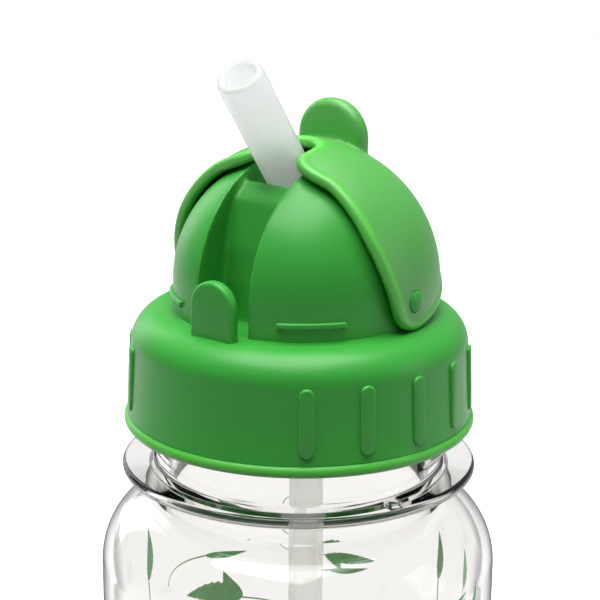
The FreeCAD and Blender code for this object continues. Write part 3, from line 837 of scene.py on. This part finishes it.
class OBJECT_OT_leaf_print(bpy.types.Operator):
    """Print leaves with curling stems around the bottle's body"""

    bl_idname = "object.leaf_print"
    bl_label = "Leaf Print"

    def execute(self, context):
        sizes = context.scene.bottle_sizes
        leaves, stems = bmesh.new(), bmesh.new()
        sprigs = SPRIGS + [self.scattered(i, sizes) for i in range(SCATTERED)]
        for azimuth, height, turn, long, wide, curl in sprigs:
            parts = [(leaves, leaf_blade(long * MM, wide * MM, 0.06, 0.24), 0.0),
                     (stems, curled_stem(long * 1.3 * MM, curl, 0.42 * MM), math.pi)]
            if wide > 3.2:
                parts.append((leaves, leaf_blade(long * 0.6 * MM, wide * 0.55 * MM, -0.08, 0.2),
                              0.85 * math.copysign(1, curl)))
            for target, drawing, extra in parts:
                wrap_print(drawing, sizes, math.radians(azimuth - 90), height * MM,
                           math.radians(turn) + extra)
                join_mesh(target, drawing)
        for name, bm, ink in (("print_leaves", leaves, "leaf_ink"),
                              ("print_stems", stems, "stem_ink")):
            bmesh.ops.recalc_face_normals(bm, faces=bm.faces)
            for face in bm.faces:
                if face.normal.dot(face.calc_center_median() * Vector((1, 1, 0))) < 0:
                    face.normal_flip()
            bmesh.ops.solidify(bm, geom=list(bm.faces), thickness=0.02 * MM)
            add_piece(name, bm, "bottle", "green_plastic", ink)
        return {"FINISHED"}

    def scattered(self, i, sizes):
        """One of the sprigs spread evenly over the rest of the body."""
        high = sizes.shoulder_start / MM - 26
        share = (i + 0.3) / SCATTERED
        return (i * 137.5 - 20, high - (high - 17) * share, 55 * math.sin(i * 2.3),
                12 + 4 * math.sin(i * 1.7), 4.2 + 1.4 * math.sin(i * 1.1),
                0.6 * math.copysign(1, math.sin(i * 2.9)))


# ---------------------------------------------------------------- lid

def skirt_profile(sizes):
    """Bottom bead, skirt, shoulder and flat top, then the inside, as (r, z) points."""
    bottom = LID_LOW.z
    bead_centre = (sizes.bead_radius - sizes.bead_round, bottom + sizes.bead_round)
    bead = arc_points(bead_centre, sizes.bead_round, -90, 72, 14)
    shoulder_centre = (sizes.skirt_top - sizes.shoulder_round, sizes.top - sizes.shoulder_round)
    shoulder = arc_points(shoulder_centre, sizes.shoulder_round, 0, 90, 18)
    inner = sizes.dome_radius - 1.0 * MM
    return (bead
            + [(sizes.skirt_radius + 0.12 * MM, bottom + 2.25 * MM),
               (sizes.skirt_radius, bottom + 2.7 * MM)]
            + shoulder
            + [(sizes.dome_radius + 0.5 * MM, sizes.top),
               (sizes.dome_radius, sizes.top + 0.3 * MM),
               (inner, sizes.top + 0.3 * MM),
               (inner, sizes.ceiling),
               (sizes.bore - 1.0 * MM, sizes.ceiling),
               (sizes.bore, sizes.ceiling - 1.3 * MM),
               (sizes.bore, bottom + 0.8 * MM),
               (sizes.bore + 0.6 * MM, bottom + 0.1 * MM)])


def lid_thread(bottle, sizes):
    """The ridge inside the skirt that runs between the neck's ridges."""
    bm = thread_ridge(sizes.bore, -1, bottle.thread_start + bottle.thread_pitch * 1.5,
                      bottle.thread_pitch, 1.25, 0.5 * MM, 0.35 * MM)
    tidy(bm)
    return bm


def dome_shell(sizes):
    """The hollow dome as a turned shell."""
    inner = sizes.dome_radius - sizes.dome_wall
    outside = arc_points((0, PIVOT.z), sizes.dome_radius, 0, 90, 56)
    inside = arc_points((0, PIVOT.z), inner, 90, 0, 50)
    low = sizes.ceiling + 0.2 * MM
    return turned([(sizes.dome_radius, low)] + outside + inside + [(inner, low)], 176)


def side_block(outline, half_width):
    """A block across the X axis from rounded (front, up) corners measured from the pivot."""
    points = [(-half_width, -front, PIVOT.z + up) for front, up in rounded(outline, 10)]
    return extruded(points, ACROSS * half_width * 2)


def channel_core(sizes):
    """The solid walls of the channel and the well inside the dome."""
    wall = 2.0 * MM
    front = sizes.channel_floor - wall
    low = sizes.ceiling + 0.2 * MM - PIVOT.z
    reach = sizes.dome_radius - 1.9 * MM
    crown = arc_points((0, 0), reach, 116, 0, 30)
    return ([(front, low), (front, 2.0 * MM), (front - 1.8 * MM, 13 * MM), (9.5 * MM, 15.5 * MM),
             (6.2 * MM, 11.5 * MM), (4.3 * MM, 7.0 * MM), (4.3 * MM, 1.5 * MM), (-9.2 * MM, 1.5 * MM)]
            + crown + [(reach, low)])


def channel_space(sizes):
    """The channel, its curved floor and the spout's well, as (front, up) corners."""
    floor = sizes.channel_floor
    return [
        (floor, sizes.top - PIVOT.z, 0.8 * MM),
        (floor, 2.0 * MM, 6 * MM),
        (floor - 0.5 * MM, 7.9 * MM, 8 * MM),
        (floor - 1.5 * MM, 11.9 * MM, 6 * MM),
        (floor - 2.8 * MM, 16.1 * MM, 3.5 * MM),
        (floor - 6.0 * MM, 19.1 * MM, 0.6 * MM),
        (4.3 * MM, 12.2 * MM, 2 * MM),
        (2.3 * MM, 8.0 * MM, 2 * MM),
        (2.3 * MM, 4.5 * MM),
        (-7.2 * MM, 4.5 * MM),
        (-7.2 * MM, 27 * MM),
        (25 * MM, 27 * MM),
        (25 * MM, sizes.top - PIVOT.z),
    ]


def round_tool(radius, low, high, centre, direction):
    """A closed round bar between two distances along a direction."""
    bm = bmesh.new()
    bmesh.ops.create_cone(bm, cap_ends=True, segments=64, radius1=radius, radius2=radius,
                          depth=high - low)
    bmesh.ops.translate(bm, verts=bm.verts, vec=UP * (low + high) / 2)
    place_mesh(bm, UP.rotation_difference(direction).to_matrix(), centre)
    return bm


class OBJECT_OT_lid_skirt(bpy.types.Operator):
    """Model the lid's skirt, shoulder, inner thread and grip ribs"""

    bl_idname = "object.lid_skirt"
    bl_label = "Lid Skirt"

    def execute(self, context):
        sizes = context.scene.lid_sizes
        look = ("lid", "green_plastic", "green_satin")
        skirt = add_piece("lid_skirt", turned(skirt_profile(sizes), 192), *look, ["screw_lid"])
        bead_top = LID_LOW.z + sizes.bead_round * 2
        # painted rim light on the bottom bead
        store_rim_light(skirt, lambda place: (bead_top - place.z) / (0.4 * MM)
                  if place.xy.length > sizes.skirt_top - 0.5 * MM else 0.0)
        add_piece("lid_thread", lid_thread(context.scene.bottle_sizes, sizes), *look)
        add_piece("lid_grip_ribs", self.grip_ribs(sizes), *look)
        return {"FINISHED"}

    def grip_ribs(self, sizes):
        """All grip ribs: upright rounded bars in a row around each side."""
        half = sizes.rib_width / 2
        soft = half * 0.98
        low, high = LID_LOW.z + 3.5 * MM, LID_LOW.z + 15.7 * MM
        ring = bmesh.new()
        for middle in (-sizes.rib_lead, math.pi + sizes.rib_lead):
            for i in range(sizes.ribs_per_side):
                across = rounded([(-half, low, soft), (half, low, soft), (half, high, soft),
                                  (-half, high, soft)], 8)
                bar = extruded([(29.6 * MM, y, z) for y, z in across], ACROSS * 2.0 * MM)
                round_edges(bar, 0.42 * MM, 4, 60)
                for vert in bar.verts:
                    vert.co.x -= 0.45 * MM * (vert.co.z - low) / (high - low)
                angle = middle + (i - (sizes.ribs_per_side - 1) / 2) * sizes.rib_pitch
                place_mesh(bar, Matrix.Rotation(angle, 3, "Z"))
                join_mesh(ring, bar)
        return ring


class OBJECT_OT_lid_dome(bpy.types.Operator):
    """Model the dome with its channel, guard tab, ridges and pivot studs"""

    bl_idname = "object.lid_dome"
    bl_label = "Lid Dome"

    def execute(self, context):
        sizes = context.scene.lid_sizes
        dome = make_object("lid_dome", dome_shell(sizes))
        core = side_block(channel_core(sizes), sizes.channel_half + 2.0 * MM)
        combine(dome, make_object("core", core), "UNION")
        space = side_block(channel_space(sizes), sizes.channel_half)
        combine(dome, make_object("space", space), "DIFFERENCE")
        straw_back = context.scene.spout_sizes.set_back
        seat = round_tool(4.3 * MM, -1 * MM, 7 * MM, Vector((0, straw_back, PIVOT.z)), UP)
        combine(dome, make_object("seat_bore", seat), "DIFFERENCE")
        vent_place = PIVOT - Vector((3.6 * MM, 0, 2.5 * MM))
        vent = round_tool(1.02 * MM, 11 * MM, 18 * MM, vent_place, Vector((0, -1, 0)))
        combine(dome, make_object("vent_bore", vent), "DIFFERENCE")
        mould(dome, sizes.grain, 3)
        finish_piece(dome, "lid", "green_dome")
        look = ("lid", "green_plastic", "green_satin")
        guard = upright_tab(sizes.guard_half, (sizes.top - 1.5 * MM, sizes.top + sizes.guard_rise),
                            sizes.guard_half * 0.995, 20, -23.15 * MM, -2.25 * MM, 0.78 * MM)
        add_piece("lid_guard_tab", guard, *look)
        add_piece("lid_dome_ridges", self.ridges(sizes), *look)
        add_piece("lid_pivot_studs", self.studs(sizes), *look)
        return {"FINISHED"}

    def ridges(self, sizes):
        """A short rounded ridge low on each side of the channel."""
        both = bmesh.new()
        centre, half = PIVOT.z - 2.4 * MM, 0.6 * MM
        section = rounded([(22.4 * MM, centre - half), (23.5 * MM, centre - half, 0.4 * MM),
                           (23.5 * MM, centre + half, 0.4 * MM), (22.4 * MM, centre + half)], 5)
        for start in (math.radians(-63), math.radians(-147)):
            spoke = Matrix.Rotation(start, 3, "Z")
            face = flat_face(both, [spoke @ Vector((r, 0, z)) for r, z in section])
            bmesh.ops.spin(both, geom=[face], cent=CENTRE, axis=UP, angle=math.radians(30),
                           steps=24)
        tidy(both)
        ends = [face for face in both.faces if len(face.verts) > 4]
        bevel(both, list({edge for face in ends for edge in face.edges}), 0.3 * MM, 3)
        return both

    def studs(self, sizes):
        """The two studs with their domed ends."""
        radius, root, reach = 1.95 * MM, sizes.dome_radius - 1.2 * MM, 25.95 * MM
        round_end = 3.2 * MM
        cap = arc_points((0, reach - round_end), round_end,
                         math.degrees(math.acos(radius / round_end)), 90, 12)
        both = bmesh.new()
        for side in (1, -1):
            stud = turned([(0, root), (radius, root), (radius, cap[0][1] - 0.1 * MM)] + cap, 48,
                          closed=False)
            place_mesh(stud, Matrix.Rotation(side * math.pi / 2, 3, "Y"), PIVOT)
            join_mesh(both, stud)
        return both


# ---------------------------------------------------------------- visor

# the middle line of the visor's edge: (side, front) around the notch, then (front, up) down the side
NOTCH_EDGE = [(0.0, -2.4), (2.7, -1.6), (4.6, 0.2), (5.25, 2.25), (5.35, 4.3), (5.3, 6.0), (5.8, 7.3),
              (7.2, 8.1), (9.0, 8.2), (10.9, 7.9), (12.8, 7.5)]
VISOR_FRONT = [(7.5, 16.0), (7.4, 11.6), (6.9, 8.6), (6.1, 5.2), (5.1, 1.9), (4.3, -0.5), (3.3, -2.55),
               (1.4, -3.95), (-1.2, -4.4), (-4.6, -3.8), (-8.6, -2.8), (-14.0, -0.9), (-20.0, 1.8),
               (-24.2, 3.4)]


def visor_edge_points(radius):
    """The visor's edge on a ball, from the notch's back round one side to the back's middle."""
    points = []
    for side, front in NOTCH_EDGE:
        up = math.sqrt(radius**2 - (side * MM) ** 2 - (front * MM) ** 2)
        points.append(Vector((side * MM, -front * MM, up)))
    for front, up in VISOR_FRONT:
        reach = radius**2 - (front * MM) ** 2 - (up * MM) ** 2
        points.append(Vector((math.sqrt(max(reach, 0.0)), -front * MM, up * MM)))
    return points


def smooth_route(points, share=6):
    """A closed smooth line through points, by Catmull-Rom spans."""
    found = []
    count = len(points)
    for i in range(count):
        a, b, c, d = (points[(i + k - 1) % count] for k in range(4))
        for step in range(share):
            t = step / share
            found.append(0.5 * ((2 * b) + (c - a) * t + (2 * a - 5 * b + 4 * c - d) * t**2
                                + (3 * b - a - 3 * c + d) * t**3))
    return found


class OBJECT_OT_visor(bpy.types.Operator):
    """Model the turning visor with its rolled edge, notch and thumb tab"""

    bl_idname = "object.bottle_visor"
    bl_label = "Visor"

    def execute(self, context):
        sizes = context.scene.visor_sizes
        visor = make_object("visor_cover", self.shell(sizes))
        route = self.edge_route((sizes.inner + sizes.outer) / 2)
        self.trim(visor, route)
        combine(visor, self.rolled_edge(sizes, route), "UNION")
        thumb = upright_tab(sizes.thumb_half, (PIVOT.z + 21.2 * MM, PIVOT.z + sizes.thumb_top),
                            sizes.thumb_half * 0.97, 22,
                            sizes.thumb_back - sizes.thumb_thickness / 2, sizes.thumb_thickness,
                            sizes.thumb_thickness * 0.46)
        combine(visor, make_object("thumb", thumb), "UNION")
        mould(visor, sizes.grain, 4)
        bore = round_tool(2.06 * MM, -30 * MM, 30 * MM, PIVOT, ACROSS)
        combine(visor, make_object("bore", bore), "DIFFERENCE")
        self.mark_rim_light(visor, sizes, route)
        finish_piece(visor, "cover", "green_spark", ["visor"])
        return {"FINISHED"}

    def shell(self, sizes):
        """A whole thin ball shell about the pivot."""
        outside = arc_points((0, PIVOT.z), sizes.outer, -90, 90, 88)
        inside = arc_points((0, PIVOT.z), sizes.inner, 90, -90, 88)
        bm = turned(outside, 176, closed=False)
        core = turned(inside, 176, closed=False)
        bmesh.ops.reverse_faces(core, faces=core.faces)
        join_mesh(bm, core)
        return bm

    def edge_route(self, radius):
        """The whole edge as a closed line on a ball about the pivot."""
        right = visor_edge_points(radius)
        left = [Vector((-p.x, p.y, p.z)) for p in reversed(right[1:-1])]
        line = smooth_route(right + left)
        return [PIVOT + point.normalized() * radius for point in line]

    def mark_rim_light(self, visor, sizes, route):
        """Store how near each vertex is to the rolled edge, for the finish's painted rim light."""
        fine = smooth_route(route, 5)
        line = KDTree(len(fine))
        for i, point in enumerate(fine):
            line.insert(point, i)
        line.balance()
        store_rim_light(visor, lambda place: 3.2 - 2.4 * line.find(place)[2] / sizes.edge_round)

    def trim(self, visor, route):
        """Keep the part of the shell behind the edge."""
        cutter = bmesh.new()
        near = [PIVOT + (point - PIVOT) * 0.3 for point in route]
        far = [PIVOT + (point - PIVOT) * 4 for point in route]
        _, inner = start_loop(cutter, near)
        _, outer = start_loop(cutter, far)
        bmesh.ops.bridge_loops(cutter, edges=inner + outer)
        for ring, end in ((inner, PIVOT), (outer, PIVOT + Vector((0, -200 * MM, -300 * MM)))):
            tip = cutter.verts.new(end)
            for edge in ring:
                cutter.faces.new((*edge.verts, tip))
        tidy(cutter)
        combine(visor, make_object("front", cutter), "DIFFERENCE")

    def rolled_edge(self, sizes, route):
        """A round bar along the edge."""
        curve = bpy.data.curves.new("edge", "CURVE")
        curve.dimensions = "3D"
        curve.bevel_depth = sizes.edge_round
        curve.bevel_resolution = 5
        spline = curve.splines.new("POLY")
        spline.points.add(len(route) - 1)
        for point, place in zip(spline.points, route):
            point.co = (*place, 1.0)
        spline.use_cyclic_u = True
        bar = link_object("edge", curve)
        depsgraph = bpy.context.evaluated_depsgraph_get()
        mesh = bpy.data.meshes.new_from_object(bar.evaluated_get(depsgraph))
        bpy.data.objects.remove(bar)
        return link_object("edge_bar", mesh)


# ---------------------------------------------------------------- spout and straw

def spout_frame(sizes):
    """Axis direction of the leaning spout and the point where its bend ends."""
    lean = sizes.lean
    along = Vector((0, -math.sin(lean), math.cos(lean)))
    start = Vector((0, sizes.set_back - sizes.bend_radius * (1 - math.cos(lean)),
                    PIVOT.z + sizes.bend_start + sizes.bend_radius * math.sin(lean)))
    return along, start


def straight_tube(sizes, origin, along, run, mouth=False):
    """A straight stretch of spout from a point; its far end is closed by a rounded lip or flat."""
    steps = 24
    lip = (sizes.radius - sizes.bore) / 2
    end = run - lip if mouth else run
    outer = [(sizes.radius, end * i / steps) for i in range(steps + 1)]
    inner = [(sizes.bore, end * i / steps) for i in range(steps, -1, -1)]
    rim = arc_points((sizes.radius - lip, end), lip, 0, 180, 12)[1:-1] if mouth else []
    bm = turned(outer + rim + inner, 72)
    place_mesh(bm, UP.rotation_difference(along).to_matrix(), origin)
    return bm


def bent_foot(sizes):
    """The spout's lower end: socket, collar, the bend in the well and a short straight run."""
    bm = bmesh.new()
    low = [(3.26, -10.0), (5.2, -10.0, 0.4), (5.2, -0.9, 0.3), (6.3, -0.6, 0.4), (6.3, 1.45, 0.3),
           (4.2, 1.45), (4.2, 6.65), (2.65, 6.65), (2.65, -2.0), (3.26, -2.0)]
    profile = rounded([tuple(value * MM for value in corner) for corner in low], 4)
    socket = turned(profile, 72)
    top = [face for face in socket.faces if min(vert.co.z for vert in face.verts) > 6.6 * MM]
    bmesh.ops.delete(socket, geom=top, context="FACES_ONLY")
    bmesh.ops.translate(socket, verts=socket.verts, vec=Vector((0, sizes.set_back, PIVOT.z)))
    start = Vector((0, sizes.set_back, PIVOT.z + sizes.bend_start))
    hub = start - Vector((0, sizes.bend_radius, 0))
    along, _ = spout_frame(sizes)
    rings = []
    for radius in (sizes.radius, sizes.bore):
        made = bmesh.ops.create_circle(bm, segments=72, radius=radius,
                                       matrix=Matrix.Translation(start))
        loop = list({edge for vert in made["verts"] for edge in vert.link_edges})
        swept = bmesh.ops.spin(bm, geom=loop, cent=hub, axis=ACROSS, angle=sizes.lean, steps=14)
        last = [item for item in swept["geom_last"] if isinstance(item, bmesh.types.BMEdge)]
        grown = bmesh.ops.extrude_edge_only(bm, edges=last)["geom"]
        moved = [item for item in grown if isinstance(item, bmesh.types.BMVert)]
        bmesh.ops.translate(bm, verts=moved, vec=along * sizes.foot_run)
        rings.append([item for item in grown if isinstance(item, bmesh.types.BMEdge)
                      and all(vert in moved for vert in item.verts)])
    bmesh.ops.bridge_loops(bm, edges=rings[0] + rings[1])
    join_mesh(bm, socket)
    tidy(bm)
    return bm


def hide_joints(piece, places, along):
    """Give the flat faces at the given places the unseen finish."""
    piece.data.materials.append(finish_named("joint_face"))
    for face in piece.data.polygons:
        flat = abs(face.normal.dot(along)) > 0.99
        if flat and any(abs((face.center - place).dot(along)) < 0.02 * MM for place in places):
            face.material_index = 1


class OBJECT_OT_spout(bpy.types.Operator):
    """Model the silicone spout and the straw below it"""

    bl_idname = "object.bottle_spout"
    bl_label = "Spout and Straw"

    def execute(self, context):
        sizes = context.scene.spout_sizes
        soft = ("silicone", "silicone")
        along, start = spout_frame(sizes)
        waist = start + along * sizes.foot_run
        neck = waist + along * sizes.stem_run
        foot = add_piece("spout_foot", bent_foot(sizes), "lid", *soft, ["spout_root"])
        hide_joints(foot, [waist], along)
        stem = add_piece("spout_stem", straight_tube(sizes, waist, along, sizes.stem_run),
                         "lid", *soft)
        hide_joints(stem, [waist, neck], along)
        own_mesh(stem)
        mouth = add_piece("spout_mouth", straight_tube(sizes, neck, along, sizes.mouth_run, True),
                          "spout", *soft, ["spout_tip"])
        hide_joints(mouth, [neck], along)
        wall = 0.9 * MM
        outer = (STRAW_HIGH.x - STRAW_LOW.x) / 2
        profile = rounded([(outer - wall, STRAW_LOW.z), (outer, STRAW_LOW.z, 0.3 * MM),
                           (outer, STRAW_HIGH.z, 0.3 * MM), (outer - wall, STRAW_HIGH.z)], 4)
        tube = turned(profile, 64)
        bmesh.ops.translate(tube, verts=tube.verts, vec=Vector((0, sizes.set_back, 0)))
        add_piece("straw", tube, "lid", "straw_plastic", "straw", ["straw_tube"])
        return {"FINISHED"}


class OBJECT_OT_seals(bpy.types.Operator):
    """Give the gasket and the vent valve their finish"""

    bl_idname = "object.bottle_seals"
    bl_label = "Seals"

    def execute(self, context):
        for name in ("lid_gasket", "vent_valve"):
            for place in frame["nodes"][name].material_slots:
                place.material = finish_named("seal")
        return {"FINISHED"}


# ---------------------------------------------------------------- stage

def add_panel_light(name, place, target, size, power):
    """A square soft light that faces a point."""
    light = bpy.data.lights.new(name, "AREA")
    light.shape = "RECTANGLE"
    light.size, light.size_y = size
    light.energy = power
    lamp = link_object(name, light)
    lamp.location = place
    lamp.rotation_euler = (Vector(target) - Vector(place)).to_track_quat("-Z", "Y").to_euler()


class OBJECT_OT_stage(bpy.types.Operator):
    """Set up the floor, the soft lights, the surround and the camera"""

    bl_idname = "object.bottle_stage"
    bl_label = "Stage"

    def execute(self, context):
        scene = context.scene
        settings, finishes = scene.bottle_stage, scene.bottle_finishes
        ground = bmesh.new()
        bmesh.ops.create_grid(ground, x_segments=1, y_segments=1, size=12.0)
        floor = make_object("floor", ground)
        floor.data.materials.append(self.paper(finishes))
        self.surround(scene, settings)
        middle = (0, 0, 0.13)
        add_panel_light("overhead_light", (0.0, -0.12, 1.2), middle, (1.0, 1.0), 21)
        add_panel_light("left_light", (-1.2, 0.35, 0.55), middle, (0.5, 1.0), 2.6)
        add_panel_light("right_light", (1.25, 0.7, 0.5), middle, (0.5, 1.0), 2.4)
        camera = bpy.data.cameras.new("camera")
        camera.lens = settings.lens
        camera.sensor_width = 36
        camera.clip_start = 0.01
        view = link_object("camera", camera)
        view.location = (settings.distance * math.sin(settings.azimuth),
                         -settings.distance * math.cos(settings.azimuth), settings.height)
        facing = (Matrix.Rotation(settings.azimuth, 4, "Z")
                  @ Matrix.Rotation(math.pi / 2 - settings.pitch, 4, "X")
                  @ Matrix.Rotation(settings.roll, 4, "Z"))
        view.rotation_euler = facing.to_euler()
        scene.camera = view
        scene.view_settings.view_transform = "Standard"
        return {"FINISHED"}

    def paper(self, finishes):
        """White paper that looks bright but throws little light back up at the object."""
        material, tree, shader, place = start_material("floor_paper")
        path = add_node(tree, "LightPath").outputs
        drift = place_group(tree, "drift", place, colour=finishes.floor, amount=0.004,
                            rim=path["Is Diffuse Ray"], rim_colour=(0.14, 0.14, 0.14))
        feed(tree, shader, {
            "Base Color": drift.outputs["Colour"],
            "Roughness": 0.9,
            "Emission Color": (1.0, 1.0, 1.0),
            "Emission Strength": math_node(tree, "MULTIPLY", path["Is Camera Ray"], 0.45),
        })
        distance = add_node(tree, "VectorMath", {0: place}, operation="LENGTH").outputs["Value"]
        far = math_node(tree, "MULTIPLY", ramp(tree, distance, 0.35, 1.6), path["Is Camera Ray"])
        away = math_node(tree, "MAXIMUM", far, path["Is Transmission Ray"])
        glow = add_node(tree, "Emission", {"Strength": 1.0})
        shown = mix_shaders(tree, away, shader.outputs["BSDF"], glow.outputs["Emission"])
        feed(tree, tree.nodes["Material Output"], {"Surface": shown})
        return material

    def surround(self, scene, settings):
        """A white surround whose light comes mostly from behind the object."""
        world = bpy.data.worlds.new("surround")
        scene.world = world
        world.use_nodes = True
        tree = world.node_tree
        light = tree.nodes["Background"]
        path = add_node(tree, "LightPath").outputs
        direction = add_node(tree, "TexCoord").outputs["Generated"]
        behind = (-math.sin(settings.azimuth), math.cos(settings.azimuth), 0)
        facing = add_node(tree, "VectorMath", {0: direction, 1: behind}, operation="DOT_PRODUCT")
        spread = ramp(tree, facing.outputs["Value"], -0.6, 0.9, least=0.035, most=settings.world)
        least = math_node(tree, "MULTIPLY", path["Is Glossy Ray"], 0.25)
        softer = math_node(tree, "MULTIPLY_ADD", path["Is Glossy Ray"], -0.6, 1.0)
        strength = math_node(tree, "MULTIPLY", spread, softer)
        feed(tree, light, {"Color": (0.98, 0.99, 1.0),
                           "Strength": math_node(tree, "MAXIMUM", strength, least)})
        seen = add_node(tree, "Background", {"Color": (1.0, 1.0, 1.0)})
        direct = math_node(tree, "MAXIMUM", path["Is Camera Ray"], path["Is Transmission Ray"])
        shown = mix_shaders(tree, direct, light.outputs["Background"], seen.outputs["Background"])
        feed(tree, tree.nodes["World Output"], {"Surface": shown})


# ---------------------------------------------------------------- add-on

OPERATORS = (
    OBJECT_OT_clear_bottle,
    OBJECT_OT_leaf_print,
    OBJECT_OT_lid_skirt,
    OBJECT_OT_lid_dome,
    OBJECT_OT_visor,
    OBJECT_OT_spout,
    OBJECT_OT_seals,
    OBJECT_OT_stage,
)


class VIEW3D_PT_kids_bottle(bpy.types.Panel):
    """Buttons that build the bottle piece by piece"""

    bl_label = "Kids Water Bottle"
    bl_space_type = "VIEW_3D"
    bl_region_type = "UI"
    bl_category = "Bottle"

    def draw(self, context):
        for operator in OPERATORS:
            self.layout.operator(operator.bl_idname)


CLASSES = (*SETTINGS.values(), *OPERATORS, VIEW3D_PT_kids_bottle)


def register():
    for item in CLASSES:
        bpy.utils.register_class(item)
    for name, group in SETTINGS.items():
        setattr(bpy.types.Scene, name, PointerProperty(type=group))


def unregister():
    for name in SETTINGS:
        delattr(bpy.types.Scene, name)
    for item in reversed(CLASSES):
        bpy.utils.unregister_class(item)


def main():
    register()
    for operator in OPERATORS:
        family, name = operator.bl_idname.split(".")
        getattr(getattr(bpy.ops, family), name)()


if __name__ == "__main__":
    main()
